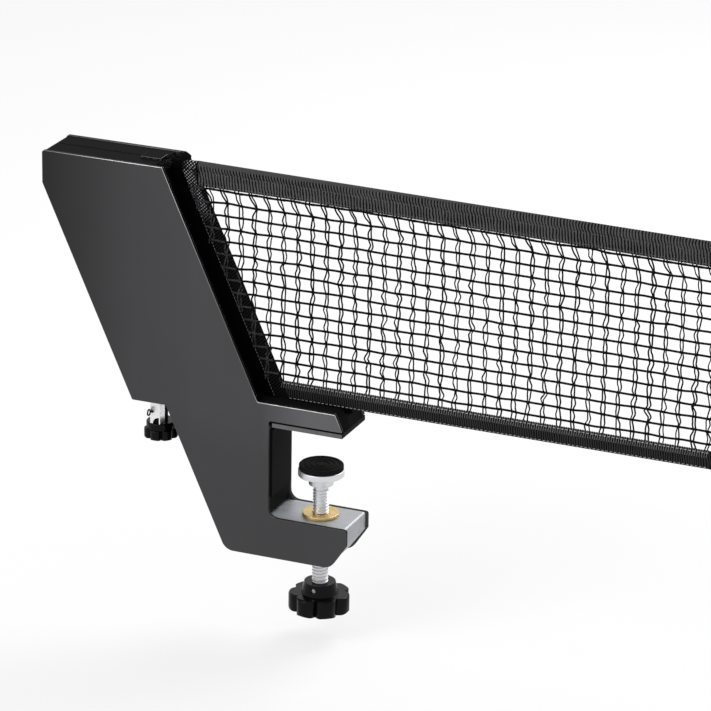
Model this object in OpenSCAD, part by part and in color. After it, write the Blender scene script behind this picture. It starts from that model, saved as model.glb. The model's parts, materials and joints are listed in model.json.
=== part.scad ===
// Table tennis net post with its table clamp and the end of the net that it carries.
// The origin lies where the table's side edge, its top and the net line meet:
// +X runs inward over the table, +Y along the table's side edge and +Z up.

/* [Post] */
// Height of the post's top edge above the table
post_h = 152.5; // [140:0.5:165]
// How far the post stands out past the table's side edge
overhang = 150; // [140:1:165]
// Thickness of the post over both plates
post_t = 35; // [31:0.5:42]
// Thickness of each steel plate
plate_t = 2.5; // [1.5:0.5:4]
// Width of the post's top edge
top_w = 78.75; // [72:0.25:90]
// Lean of the post towards the net, in degrees from upright
lean = 24.5; // [22:0.5:27]
// Height of the upright outer edge below the top
side_drop = 20.2; // [12:0.2:30]
// Height of the shelf over the height knob
shelf_z = 3; // [1:0.5:5]
// Width of the shelf, from its tip to the leg
shelf_w = 22.4; // [18:0.2:26]
// Radius of the plates' outer corners
corner_r = 1.6; // [0.5:0.1:3]
// Diameter of the standoffs between the plates
standoff_d = 8; // [6:0.5:10]
// Diameter of the plate screws
plate_screw_d = 4; // [3:0.5:5]

/* [Foot] */
// Height of the foot's top edge above the table
tongue_h = 14.8; // [13:0.2:18]
// How far the foot reaches in over the table
foot_len = 46.6; // [40:0.2:60]
// Thickness of the steel foot plate
foot_plate_t = 3.2; // [2.6:0.1:4]
// Thickness of the soft pad set into the foot plate
foot_pad_t = 0.8; // [0.5:0.1:1.2]
// Thickness of the rubber buffer on the leg
buffer_t = 1; // [0.6:0.1:1.6]
// Depth of the groove that the net's hem runs in
hem_groove_depth = 6; // [5:0.5:7]

/* [Clamp] */
// Depth of the clamp arm's top edge below the table top
arm_drop = 58; // [56:1:70]
// Height of the clamp arm
arm_h = 26; // [22:1:32]
// How far the clamp arm reaches in under the table
arm_reach = 50; // [46:1:60]
// Thickness of the table top that the screw is set to
board_t = 25; // [18:1:30]
// Thinnest table top that the clamp takes
board_min = 10; // [8:1:15]
// Distance of the clamp screw from the table's side edge
clamp_x = 26; // [24:1:28]
// Diameter of the clamp spindle
spindle_d = 10; // [8:0.5:12]
// Diameter of the clamp pad
pad_d = 28; // [22:1:32]
// Diameter of the clamp knob over its lobes
clamp_knob_d = 38; // [30:1:48]
// Height of the clamp knob
clamp_knob_h = 18; // [14:1:26]

/* [Height screw] */
// Distance of the height screw out from the table's side edge
height_out = 80; // [78:0.5:82]
// Diameter of the height stud
stud_d = 4; // [3:0.5:4.5]
// How far the net carrier can rise or sink
height_travel = 3; // [1:0.5:3]
// Diameter of the height knob over its lobes
height_knob_d = 21; // [18:0.5:24]
// Height of the height knob's grip
height_knob_h = 6.2; // [5:0.2:12]
// Depth of the zinc bracket's lower end below the table top
bracket_drop = 14; // [12:0.5:18]
// Width of the zinc bracket
bracket_w = 6.6; // [6.4:0.1:8]
// Thickness of the zinc bracket's sheet
bracket_t = 0.8; // [0.6:0.1:1]

/* [Net] */
// How far the net runs in over the table
net_reach = 282; // [240:1:320]
// Height of the net's lower edge above the table
net_low = 13; // [12.8:0.1:14]
// Height of the band along the net's top edge
band_h = 14; // [12:0.5:18]
// Thickness of the band
band_t = 2.4; // [1.6:0.1:3]
// Height of the tape along the net's lower edge
hem_h = 11; // [8:0.5:14]
// Width of the side tape past the plates' inner edge
side_tape_w = 13.1; // [11:0.1:15]
// Thickness of the side and lower tapes
tape_t = 1.8; // [1.2:0.1:2.2]
// Width of a mesh cell
cell_w = 12; // [11:0.5:20]
// Height of a mesh cell
cell_h = 10.4; // [10:0.2:20]
// Thickness of the mesh strands
strand_d = 1.2; // [0.8:0.1:1.6]
// Diameter of the rod in the net's side sleeve
rod_d = 5; // [4:0.5:6]
// Wall of the fabric sleeve round the rod
sleeve_wall = 1.1; // [0.8:0.1:1.2]
// Diameter of the net cord
cord_d = 3.6; // [3:0.2:4]

/* [Net carrier] */
// How far the carrier's cap stops short of the plates' inner edge
cap_back = 6.5; // [6:0.5:8]
// Distance of the rod behind the plates' inner edge
rod_back = 11; // [10.5:0.5:12]
// Length of the cord slot in the cap
slot_len = 13; // [12:0.5:18]
// Width of the cord slot in the cap
slot_w = 6.6; // [6:0.2:8]
// Depth of the cord slot in the cap
slot_depth = 6.2; // [5.8:0.2:7]
// Travel of the cord lock in its slot
lock_travel = 5; // [2:0.5:6]
// Width of the cord lock's thumb plate
lock_w = 9.8; // [9.4:0.2:12]
// Thickness of the cord lock's thumb plate
lock_t = 1; // [0.6:0.1:1.4]

/* [Fits] */
// Running clearance on a radius
run_gap = 0.05; // [0.03:0.01:0.1]
// Clearance beside what slides
slide_gap = 0.3; // [0.2:0.05:0.4]
// Clearance round what is seated and doesn't move
seat_gap = 0.1; // [0.05:0.01:0.15]

/* [Hidden] */
$fn = 48;
lean_run = tan(lean);
gap_half = post_t / 2 - plate_t;        // half the space between the plates
cut = 1;                                // how far a cutting solid runs past a face

// Outlines of the plates
outer_low_z = post_h - side_drop;
function inner_x(z) = -overhang + top_w + (post_h - z) * lean_run;
function outer_x(z) = -overhang + max(0, outer_low_z - z) * lean_run;
function leg_x(z) = outer_x(shelf_z) + shelf_w + (shelf_z - z) * lean_run;
leg_face = -buffer_t;                   // the plates' edge beside the table
pad_proud = 0.3;                        // how far the pad stands below the foot plate
pad_rim = 1.6;                          // width of the foot plate's rim round the pad
foot_top = pad_proud + foot_plate_t;
tongue_low = foot_top + 0.5;
foot_start = leg_face + 2.2;
arm_low = -(arm_drop + arm_h);
arm_nose = arm_h * 0.4;                 // how far the arm's end rises towards the table
heel_r = 1.5;                           // inner corner between the leg and the foot
tip_r = 0.8;
elbow_r = 6;                            // inner corner between the leg and the arm
arm_r = 8;                              // the arm's lower corners
foot_screw_d = 3;
foot_screw_x = [foot_len * 0.25, foot_len * 0.75];
screw_grip = 12;                        // length of a plate screw inside its standoff

// Black moulding between the plates
inlay = 0.2;                            // how far it lies below the plates' upper edges
tip_inlay = 0.3;                        // how far it stops short of the foot's end
shelf_run = 26;                         // its flat top, from the height screw to the net
lug_w = 6;                              // its width beside the leg's slanted edge
hem_room = 4.5;                         // half the width of the groove for the net's hem
buffer_start = 3;                       // the rubber buffer's distance from the foot and the arm
buffer_stop = 12;

// Net carrier
core_top = post_h - 0.3;
core_low = tongue_h + height_travel + 2.2;
core_inset = 0.3;                       // how far the carrier stops short of the plates' edges
jaw_h = 20;                             // height of the jaws that grip the net rod
channel_back = rod_back + 5.5;          // depth of the recess between the jaws
sleeve_d = rod_d + 2 * (sleeve_wall + seat_gap);
channel_d = sleeve_d + 2 * seat_gap;
mouth_w = tape_t + 1.4;
slot_floor = core_top - slot_depth;
rod_top = slot_floor - 0.4;
rod_low = net_low + 1;
cord_z = core_top - slot_depth / 2 + 0.6;
hem_d = 2 * (post_h - cord_z);          // round hem of the band, over the cord
cord_bore = cord_d + 2 * seat_gap;
cap_end = inner_x(core_top) - cap_back;
slot_start = cap_end - slot_len;
stop_len = 4;                           // stop on the cord's end, in its pocket beyond the slot
stop_half_w = 3.2;
stop_back = 3;
seam_w = 0.9;
sleeve_top = rod_top - 4;
end_rod_d = rod_d - 1;
nut_d = 9;
nut_h = 9;
nut_low = core_low + 5;
stud_top = nut_low + nut_h + height_travel + 12;

// Height screw
guide_top = core_low - height_travel - 3;
guide_low = shelf_z + 1;
guide_half_w = bracket_w / 2 - bracket_t - seat_gap;
guide_out = 9;                          // the guide's reach out from the stud
guide_in = 24;                          // and in towards the leg
guide_tie_run = 18;                     // from the stud to the standoff through the guide
guide_back = 2.8;
bracket_front = -8.5;
bracket_depth = 6.8;
stem_half_w = 3.4;                      // the guide's stem behind the bracket
bracket_rise = 6;                       // how far the bracket runs up into the guide
notch_r = 4;                            // round notch in the bracket's lower corner
bracket_screw_d = 1;
bracket_screw_off = 1.5;
bracket_screw_z = -6.2;
bracket_screw_len = 4;
eye_d = 4.4;                            // round eye on the bracket's screw
eye_hole_d = 3;
eye_t = 0.7;
eye_out = 1.3;                          // how far it stands outside its shank
eye_gap = 0.6;                          // and in front of the bracket
collar_d = 9;
collar_h = 2.2;
hub_h = 4.2;
hub_d = 18;
stud_low = -bracket_drop - hub_h - height_knob_h + 2;
lobe_share = 0.34;                      // a lobe's diameter, as a share of its knob's
lobe_count = 7;

// Net
band_low = post_h - band_h;
band_start = inner_x(band_low) + side_tape_w - 4.1;
hem_top = net_low + hem_h;
end_tape_w = 12;
net_end = net_reach - end_tape_w;       // where the mesh and its tapes meet the end tape
end_rod_x = net_reach - 4.5;
hem_lead = 8;                           // cord hem on the side tape, ahead of the band

// Clamp
pad_rubber_t = 3;
pad_cup_t = 4;
pad_hub_h = 6;
pad_hub_d = 15;
neck_d = spindle_d * 0.7;
head_d = neck_d + 1.8;
head_h = 1.6;
pad_top = -board_t;
cup_top = pad_top - pad_rubber_t;
cup_low = cup_top - pad_cup_t;
hub_low = cup_low - pad_hub_h;
knob_top = arm_low - (board_t - board_min) - 2;
boss_d = spindle_d + 9;
boss_h = 7;
bush_d = spindle_d + 6;
bush_flange_t = 2;
bush_flange_w = 3;
knob_pin_d = 3;
knob_floor = 5;                         // material of the knob below the spindle's end
block_out = 24;                         // reach of the alloy block out from the table's edge
block_inset = 1;                        // and how far it lies inside the plates' edges

// Where the standoffs tie the plates together, as [x, z]
function across(z, share) = outer_x(z) + share * (inner_x(z) - outer_x(z));
function on_blade(rise, share) = let (z = core_low + rise * (core_top - core_low)) [across(z, share), z];
leg_tie_drops = [12, 42];
arm_tie_out = 12;
arm_tie_in = 8;
arm_mid = -arm_drop - arm_h / 2;
blade_ties = [on_blade(0.85, 0.35), on_blade(0.48, 0.5), on_blade(0.15, 0.68)];
leg_ties = [for (drop = leg_tie_drops) [(leg_x(-drop) + leg_face) / 2, -drop]];
arm_ties = [[-arm_tie_out, arm_mid], [arm_reach - arm_tie_in, arm_mid]];
guide_tie = [-height_out + guide_tie_run, (guide_top + guide_low) / 2];
ties = concat(blade_ties, leg_ties, arm_ties, [guide_tie]);

// Screws that hold the carrier's halves together, as [x, z]
core_screw_d = 3;
core_screw_head_d = 5.6;
core_screw_head_h = 2.4;
screw_sink = 0.5;                       // how far the heads lie below the carrier's face
core_screws_at = [on_blade(0.74, 0.7), on_blade(0.61, 0.2), on_blade(0.3, 0.2), on_blade(0.3, 0.75)];

// A unit vector
function unit(v) = v / norm(v);

// The arc that rounds corner b between its neighbours a and c
function corner_arc(a, b, c, r, steps = 6) =
    r == 0 ? [b] :
    let (u = unit(a - b), v = unit(c - b), half = acos(u * v) / 2,
        mid = b + unit(u + v) * r / sin(half),
        start = b + u * r / tan(half) - mid,
        end = b + v * r / tan(half) - mid,
        first = atan2(start.y, start.x),
        sweep = atan2(start.x * end.y - start.y * end.x, start * end))
    [for (i = [0:steps]) mid + r * [cos(first + sweep * i / steps), sin(first + sweep * i / steps)]];

// An outline of corners [x, z, radius], each rounded by its radius
function rounded(corners) = let (n = len(corners), flat = [for (p = corners) [p[0], p[1]]])
    [for (i = [0:n - 1]) each corner_arc(flat[(i + n - 1) % n], flat[i], flat[(i + 1) % n], corners[i][2])];

// A flat outline in X and Z, thickened along Y
module slab(y0, y1) {
    translate([0, y1, 0]) rotate([90, 0, 0]) linear_extrude(y1 - y0) children();
}

// A round bar along Y at [x, z]
module bar_y(at, d, y0, y1) {
    translate([at[0], y1, at[1]]) rotate([90, 0, 0]) cylinder(d = d, h = y1 - y0);
}

// A round bar along X on the net line
module bar_x(z, d, x0, x1) {
    translate([x0, 0, z]) rotate([0, 90, 0]) cylinder(d = d, h = x1 - x0);
}

// A round bar along Z at x on the net line
module bar_z(x, d, z0, z1) {
    translate([x, 0, z0]) cylinder(d = d, h = z1 - z0);
}

// A block on the net line, centred in Y
module block(x0, x1, y_half, z0, z1) {
    translate([x0, -y_half, z0]) cube([x1 - x0, 2 * y_half, z1 - z0]);
}

// Places children so that their Z axis follows the plates' inner edge, x past it
module on_lean(x) {
    translate([inner_x(0) + x, 0, 0]) rotate([0, -lean, 0]) children();
}

// Height along the lean that reaches height z
function lean_len(z) = z / cos(lean);

// Outline of a plate: blade, foot, leg and clamp arm in one
module plate_outline() {
    end_run = (tongue_h - tongue_low) * lean_run;
    polygon(rounded([
        [-overhang, post_h, corner_r],
        [inner_x(post_h), post_h, tip_r],
        [inner_x(tongue_h), tongue_h, tip_r],
        [foot_len - end_run, tongue_h, tip_r],
        [foot_len, tongue_low, tip_r / 2],
        [leg_face, tongue_low, heel_r],
        [leg_face, -arm_drop, elbow_r],
        [arm_reach, -arm_drop, corner_r],
        [arm_reach, -arm_drop - arm_nose, corner_r],
        [arm_reach - arm_nose, arm_low, arm_r],
        [leg_x(arm_low), arm_low, arm_r],
        [leg_x(shelf_z), shelf_z, tip_r],
        [outer_x(shelf_z), shelf_z, tip_r],
        [-overhang, outer_low_z, corner_r]]));
}

module front_plate() {
    color([0.24, 0.24, 0.25]) slab(-post_t / 2, -gap_half) plate_outline();
}

module rear_plate() {
    sink = plate_screw_d;               // a countersunk head is twice as wide as its screw
    color([0.24, 0.24, 0.25]) difference() {
        slab(gap_half, post_t / 2) plate_outline();
        for (at = ties) {
            bar_y(at, plate_screw_d + 2 * seat_gap, gap_half - cut, post_t / 2 + cut);
            translate([at[0], post_t / 2 + 0.01, at[1]]) rotate([90, 0, 0])
                cylinder(d1 = 2 * sink + 2 * seat_gap, d2 = plate_screw_d + 2 * seat_gap, h = sink / 2);
        }
    }
}

module standoffs() {
    color([0.72, 0.73, 0.75]) for (at = ties) difference() {
        bar_y(at, standoff_d, -gap_half, gap_half);
        bar_y(at, plate_screw_d + 2 * run_gap, gap_half - screw_grip - cut, gap_half + cut);
    }
}

module plate_screws() {
    socket_d = plate_screw_d * 0.62;
    color([0.12, 0.12, 0.13]) for (at = ties) difference() {
        union() {
            bar_y(at, plate_screw_d, gap_half - screw_grip, post_t / 2 - 0.3);
            translate([at[0], post_t / 2, at[1]]) rotate([90, 0, 0])
                cylinder(d1 = 2 * plate_screw_d, d2 = plate_screw_d, h = plate_screw_d / 2);
        }
        translate([at[0], post_t / 2 - 1.3, at[1]]) rotate([-90, 0, 0])
            cylinder(d = socket_d, h = 1.3 + cut, $fn = 6);
    }
}

// Black moulding that fills the leg and the foot between the plates
module frame_block() {
    left = -height_out + shelf_run;
    end_run = (tongue_h - tongue_low) * lean_run;
    top = tongue_h - inlay;
    tip = foot_len - tip_inlay;
    low = -arm_drop + bush_flange_t;
    turn_z = shelf_z - (left - lug_w - leg_x(shelf_z)) / lean_run;
    half = gap_half - seat_gap;
    color([0.07, 0.07, 0.08]) difference() {
        slab(-half, half) polygon(rounded([
            [left, top, 1],
            [tip - end_run, top, tip_r],
            [tip, tongue_low, 0],
            [tip, foot_top, 0],
            [foot_start - seat_gap, foot_top, 0],
            [foot_start - seat_gap, 0, 0],
            [leg_face, 0, 0],
            [leg_face, low, 0],
            [leg_x(low) + lug_w, low, 2],
            [left, turn_z, 2]]));
        block(inner_x(net_low) - rod_back - 2 * lug_w, foot_len + cut, hem_room,
            tongue_h - hem_groove_depth, tongue_h + cut);
        for (at = leg_ties) bar_y(at, standoff_d + 2 * seat_gap, -post_t, post_t);
        for (x = foot_screw_x) bar_z(x, foot_screw_d, 0, tongue_h - hem_groove_depth - 1.2);
    }
}

// The foot pad's space, from a depth up, inset from the foot plate's edges
module pad_area(inset, low) {
    block(foot_start + inset, foot_len - inset, post_t / 2 - inset, low, foot_pad_t);
}

module foot_plate() {
    color([0.42, 0.43, 0.44]) difference() {
        block(foot_start, foot_len, post_t / 2, pad_proud, foot_top);
        pad_area(pad_rim - seat_gap, -cut);
        for (x = foot_screw_x) {
            bar_z(x, foot_screw_d + 2 * seat_gap, 0, tongue_low + cut);
            translate([x, 0, foot_pad_t - 0.01])
                cylinder(d1 = 2 * foot_screw_d + 2 * seat_gap, d2 = foot_screw_d + 2 * seat_gap,
                    h = foot_screw_d / 2);
        }
    }
}

module foot_screws() {
    color([0.75, 0.76, 0.78]) for (x = foot_screw_x) {
        bar_z(x, foot_screw_d - 2 * run_gap, foot_pad_t, tongue_h - hem_groove_depth - 2);
        translate([x, 0, foot_pad_t])
            cylinder(d1 = 2 * foot_screw_d, d2 = foot_screw_d - 2 * run_gap, h = foot_screw_d / 2);
    }
}

module foot_pad() {
    color([0.05, 0.05, 0.05]) pad_area(pad_rim, 0);
}

module edge_buffer() {
    color([0.06, 0.06, 0.06]) block(leg_face, 0, gap_half - 1, -arm_drop + buffer_stop, -buffer_start);
}

// Metal block in the arm that carries the threaded bush
module clamp_block() {
    half = gap_half - seat_gap;
    low = arm_low + block_inset;
    tip = arm_reach - block_inset;
    color([0.62, 0.63, 0.65]) difference() {
        slab(-half, half) polygon(rounded([
            [-block_out, -arm_drop, 0],
            [tip, -arm_drop, corner_r],
            [tip, -arm_drop - arm_nose, corner_r],
            [tip - arm_nose, low, arm_r - block_inset],
            [-block_out, low, 2]]));
        for (at = arm_ties) bar_y(at, standoff_d + 2 * seat_gap, -post_t, post_t);
        bar_z(clamp_x, bush_d + 2 * seat_gap, arm_low - cut, -arm_drop + cut);
    }
}

module clamp_bush() {
    color([0.72, 0.58, 0.3]) difference() {
        union() {
            bar_z(clamp_x, bush_d, arm_low + block_inset, -arm_drop);
            bar_z(clamp_x, bush_d + 2 * bush_flange_w, -arm_drop, -arm_drop + bush_flange_t);
        }
        bar_z(clamp_x, spindle_d + 2 * run_gap, arm_low - cut, -arm_drop + bush_flange_t + cut);
    }
}

// Black guide that the height stud turns in, with its stem below the shelf
module height_guide() {
    x = -height_out;
    half = gap_half - seat_gap;
    stem_front = bracket_front + bracket_t + seat_gap;
    stem_mid = bracket_front + bracket_depth + seat_gap;
    stem_h = guide_low + bracket_drop + cut;
    color([0.08, 0.08, 0.09]) difference() {
        union() {
            block(x - guide_out, x + guide_in, half, guide_low, guide_top);
            translate([x - guide_half_w, stem_front, -bracket_drop])
                cube([2 * guide_half_w, guide_back - stem_front, stem_h]);
            translate([x - stem_half_w, stem_mid, -bracket_drop])
                cube([2 * stem_half_w, guide_back - stem_mid, stem_h]);
        }
        bar_z(x, stud_d + 2 * run_gap, -bracket_drop - cut, guide_top + cut);
        bar_y(guide_tie, standoff_d + 2 * seat_gap, -post_t, post_t);
        translate([x - bracket_w / 2 - seat_gap, bracket_front - seat_gap, guide_low - cut])
            difference() {
                cube([bracket_w + 2 * seat_gap, bracket_depth + 2 * seat_gap, bracket_rise + cut + seat_gap]);
                translate([bracket_w / 2 + seat_gap - guide_half_w, bracket_t + 2 * seat_gap, -cut])
                    cube([2 * guide_half_w, bracket_depth + cut, bracket_rise + 4 * cut]);
            }
        bar_y([x - bracket_screw_off, bracket_screw_z], bracket_screw_d,
            bracket_front - cut, bracket_front + bracket_screw_len);
    }
}

// Zinc channel round the front of the guide's stem
module height_bracket() {
    x = -height_out;
    top = guide_low + bracket_rise;
    color([0.83, 0.84, 0.86]) difference() {
        translate([x - bracket_w / 2, bracket_front, -bracket_drop])
            cube([bracket_w, bracket_depth, top + bracket_drop]);
        translate([x - bracket_w / 2 + bracket_t, bracket_front + bracket_t, -bracket_drop - cut])
            cube([bracket_w - 2 * bracket_t, bracket_depth, top + bracket_drop + 2 * cut]);
        intersection() {
            bar_y([x + bracket_w / 2 - bracket_t, -bracket_drop], 2 * notch_r,
                bracket_front - cut, bracket_front + 1.5 * bracket_t);
            block(x - bracket_w / 2 + bracket_t, x + bracket_w / 2 - bracket_t, post_t, -2 * bracket_drop, 0);
        }
        bar_y([x - bracket_screw_off, bracket_screw_z], bracket_screw_d + 2 * seat_gap,
            bracket_front - cut, bracket_front + 2 * bracket_t);
    }
}

// Screw with a round eye for a head, held by its shank in the guide's stem
module bracket_screw() {
    at = [-height_out - bracket_screw_off, bracket_screw_z];
    eye_y = bracket_front - eye_gap - eye_d / 2;
    shank_end = bracket_front + bracket_screw_len - 0.5;
    color([0.05, 0.05, 0.06]) difference() {
        union() {
            bar_y(at, bracket_screw_d - 2 * run_gap, bracket_front - eye_gap, shank_end);
            hull() {
                bar_y(at, bracket_screw_d - 2 * run_gap, bracket_front - eye_gap, bracket_front);
                translate([at[0] - eye_out - eye_t / 2, bracket_front - 2 * eye_gap, at[1] - eye_gap])
                    cube([eye_t, eye_gap, 2 * eye_gap]);
            }
            eye_bar(at, eye_y, eye_d, eye_t);
        }
        eye_bar(at, eye_y, eye_hole_d, 2 * eye_t);
    }
}

// A bar along X, where the bracket screw's eye is
module eye_bar(at, y, d, length) {
    translate([at[0] - eye_out - length / 2, y, at[1]]) rotate([0, 90, 0]) cylinder(d = d, h = length);
}

// Outline of the net carrier's moulding: cap, blade filler and the two jaws
module core_outline() {
    jaw_x = -cap_back;
    recess_x = -channel_back;
    upper = core_top - slot_depth - jaw_h / 2;
    lower = core_low + jaw_h / 2;
    polygon(rounded([
        [-overhang + core_inset, core_top, corner_r],
        [inner_x(core_top) + jaw_x, core_top, 0.6],
        [inner_x(upper) + jaw_x, upper, 1],
        [inner_x(upper) + recess_x, upper, 1],
        [inner_x(lower) + recess_x, lower, 1],
        [inner_x(lower) + jaw_x, lower, 1],
        [inner_x(core_low) + jaw_x, core_low, 1],
        [outer_x(core_low) + core_inset + 1, core_low, 2],
        [-overhang + core_inset, outer_low_z, corner_r]]));
}

// Everything that is cut out of the carrier
module core_cuts() {
    x = -height_out;
    half = gap_half + cut;
    // slots that ride on the standoffs
    for (at = blade_ties) {
        slot_half = height_travel + 0.6;
        for (side = [-1, 1]) bar_y([at[0], at[1] + side * slot_half], standoff_d + 2 * seat_gap, -half, half);
        translate([at[0] - standoff_d / 2 - seat_gap, -half, at[1] - slot_half])
            cube([standoff_d + 2 * seat_gap, 2 * half, 2 * slot_half]);
    }
    // cord slot in the cap, the cord's bore and the pocket for its stop
    block(slot_start, inner_x(0), slot_w / 2, slot_floor, core_top + cut);
    bar_x(cord_z, cord_bore, slot_start - stop_back - seat_gap, slot_start + cut);
    block(slot_start - stop_back - stop_len - seat_gap, slot_start - stop_back,
        stop_half_w + seat_gap, cord_z - cord_d / 2 - seat_gap, cord_z + 1.4 + seat_gap);
    // channel for the rod in its sleeve, with its narrow mouth
    on_lean(-rod_back) {
        cylinder(d = channel_d, h = lean_len(post_h));
        translate([0, -mouth_w / 2, 0]) cube([3 * rod_back, mouth_w, lean_len(post_h)]);
    }
    // height stud, its nut and its collar
    bar_z(x, stud_d + 1.4, core_low - cut, stud_top + height_travel + 2);
    bar_z(x, nut_d + 2 * seat_gap, nut_low - seat_gap, nut_low + nut_h + seat_gap);
    bar_z(x, collar_d + 2, core_low - cut, core_low + 2.5);
    // fine seam along the cap
    translate([-overhang, 0, core_top]) rotate([45, 0, 0])
        translate([0, -seam_w / 2, -seam_w / 2]) cube([overhang, seam_w, seam_w]);
}

module core_half(y0, y1) {
    difference() {
        slab(y0, y1) core_outline();
        core_cuts();
    }
}

module core_front() {
    color([0.1, 0.1, 0.11]) difference() {
        core_half(-gap_half + slide_gap, 0);
        for (at = core_screws_at) bar_y(at, core_screw_d - 0.4, -gap_half + 4, cut);
    }
}

module core_rear() {
    color([0.1, 0.1, 0.11]) difference() {
        core_half(0, gap_half - slide_gap);
        for (at = core_screws_at) {
            bar_y(at, core_screw_d + 2 * seat_gap, -cut, gap_half);
            bar_y(at, core_screw_head_d + 2 * seat_gap,
                gap_half - slide_gap - core_screw_head_h - screw_sink, gap_half);
        }
    }
}

module core_screws() {
    head_y = gap_half - slide_gap - screw_sink;
    color([0.75, 0.76, 0.78]) for (at = core_screws_at) {
        bar_y(at, core_screw_d - 0.4 - 2 * run_gap, -gap_half + 5, head_y - core_screw_head_h);
        bar_y(at, core_screw_head_d, head_y - core_screw_head_h, head_y);
    }
}

module carrier_nut() {
    color([0.75, 0.6, 0.3]) difference() {
        bar_z(-height_out, nut_d, nut_low, nut_low + nut_h);
        bar_z(-height_out, stud_d + 2 * run_gap, nut_low - cut, nut_low + nut_h + cut);
    }
}

module net_rod() {
    start = lean_len(rod_low);
    color([0.7, 0.71, 0.72]) on_lean(-rod_back)
        translate([0, 0, start]) cylinder(d = rod_d, h = lean_len(rod_top - 2) - start);
}

module rod_plug() {
    color([0.04, 0.04, 0.04]) on_lean(-rod_back)
        translate([0, 0, lean_len(rod_top - 2)]) cylinder(d = sleeve_d - 1, h = 1.6);
}

// Fabric sleeve round the rod and the tape that runs on from it to the mesh
module net_side_tape() {
    tape_reach = (rod_back + side_tape_w) * cos(lean);
    color([0.09, 0.09, 0.09]) difference() {
        union() {
            intersection() {
                on_lean(-rod_back) difference() {
                    linear_extrude(lean_len(post_h)) union() {
                        circle(d = sleeve_d);
                        translate([0, -tape_t / 2]) square([tape_reach, tape_t]);
                    }
                    cylinder(d = rod_d + 2 * seat_gap, h = 3 * post_h, center = true);
                }
                union() {
                    block(-overhang, foot_len, sleeve_d, net_low, sleeve_top);
                    block(inner_x(cord_z) + 4, foot_len, sleeve_d, net_low, cord_z);
                }
            }
            bar_x(cord_z, hem_d, band_start - hem_lead, band_start);
        }
        bar_x(cord_z, cord_bore, -overhang, foot_len);
        block(band_start, foot_len, hem_d, band_low, post_h + cut);
    }
}

// Folded band over the cord, along the net's top edge
module net_top_band() {
    color([0.16, 0.16, 0.16]) difference() {
        union() {
            block(band_start, net_end, band_t / 2, band_low, cord_z);
            bar_x(cord_z, hem_d, band_start, net_end);
        }
        bar_x(cord_z, cord_bore, band_start - cut, net_end + cut);
    }
}

// The net's own area between two heights, from the side tape to the end tape
module net_area(z0, z1) {
    polygon([
        [inner_x(z0) + side_tape_w, z0],
        [net_end, z0],
        [net_end, z1],
        [inner_x(z1) + side_tape_w, z1]]);
}

module net_lower_tape() {
    color([0.09, 0.09, 0.09]) slab(-tape_t / 2, tape_t / 2) net_area(net_low, hem_top);
}

// Flat lattice of strands, hung between the tapes
module net_mesh() {
    left = inner_x(band_low) + side_tape_w;
    columns = floor((net_end - left) / cell_w);
    rows = floor((band_low - hem_top) / cell_h);
    color([0.05, 0.05, 0.05]) slab(-strand_d / 2, strand_d / 2) intersection() {
        net_area(hem_top, band_low);
        union() {
            for (i = [0:columns]) translate([net_end - i * cell_w - strand_d, hem_top])
                square([strand_d, band_low - hem_top]);
            for (j = [0:rows]) translate([left, hem_top + j * cell_h])
                square([net_end - left, strand_d]);
        }
    }
}

// The cord from its stop in the cap, through the band, to the far rod
module net_cord() {
    color([0.08, 0.08, 0.08]) bar_x(cord_z, cord_d, slot_start - stop_back, end_rod_x - 4);
}

module cord_stop() {
    color([0.7, 0.55, 0.3]) block(slot_start - stop_back - stop_len, slot_start - stop_back,
        stop_half_w, cord_z - cord_d / 2, cord_z + 1.4);
}

module net_end_tape() {
    rod_sleeve = end_rod_d + 2 * (sleeve_wall + seat_gap);
    color([0.09, 0.09, 0.09]) difference() {
        union() {
            block(net_end, net_reach, band_t / 2, net_low, cord_z);
            bar_z(end_rod_x, rod_sleeve, net_low, sleeve_top);
            bar_x(cord_z, hem_d, net_end, end_rod_x);
        }
        bar_z(end_rod_x, end_rod_d + 2 * seat_gap, net_low - cut, sleeve_top + 0.01);
        bar_x(cord_z, cord_bore, net_end - cut, end_rod_x - 3);
    }
}

module net_end_rod() {
    color([0.7, 0.71, 0.72]) bar_z(end_rod_x, end_rod_d, net_low, sleeve_top - 0.2);
}

// Wedge that grips the cord in the slot, under a thumb plate that covers the slot
module cord_lock() {
    wedge_start = slot_start + lock_travel + slide_gap;
    end = cap_end - slide_gap;
    plate_low = core_top + seat_gap;
    color([0.06, 0.06, 0.07]) difference() {
        union() {
            block(wedge_start, end, slot_w / 2 - slide_gap, slot_floor + seat_gap, plate_low + cut / 2);
            block(slot_start, end, lock_w / 2, plate_low, plate_low + lock_t);
        }
        bar_x(cord_z, cord_bore, slot_start - cut, cap_end + cut);
    }
}

// Outline of a knob with round lobes
module lobes(d, count) {
    lobe_d = d * lobe_share;
    circle(d = d - lobe_d);
    for (i = [0:count - 1]) rotate(i * 360 / count) translate([(d - lobe_d) / 2, 0]) circle(d = lobe_d);
}

// A lobed grip from z down to z - h, with its rims rounded
module grip(d, h, z, count) {
    rim = h * 0.16;
    intersection() {
        translate([0, 0, z - h]) linear_extrude(h) lobes(d, count);
        rotate_extrude() polygon(rounded([
            [0, z, 0], [d / 2 + 0.01, z, rim], [d / 2 + 0.01, z - h, rim], [0, z - h, 0]]));
    }
}

module height_stud() {
    color([0.78, 0.79, 0.8]) bar_z(-height_out, stud_d, stud_low, stud_top);
}

module stud_collar() {
    color([0.6, 0.61, 0.63]) difference() {
        bar_z(-height_out, collar_d, guide_top + 0.15, guide_top + 0.15 + collar_h);
        bar_z(-height_out, stud_d + 2 * run_gap, guide_top - cut, guide_top + collar_h + 2 * cut);
    }
}

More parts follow.
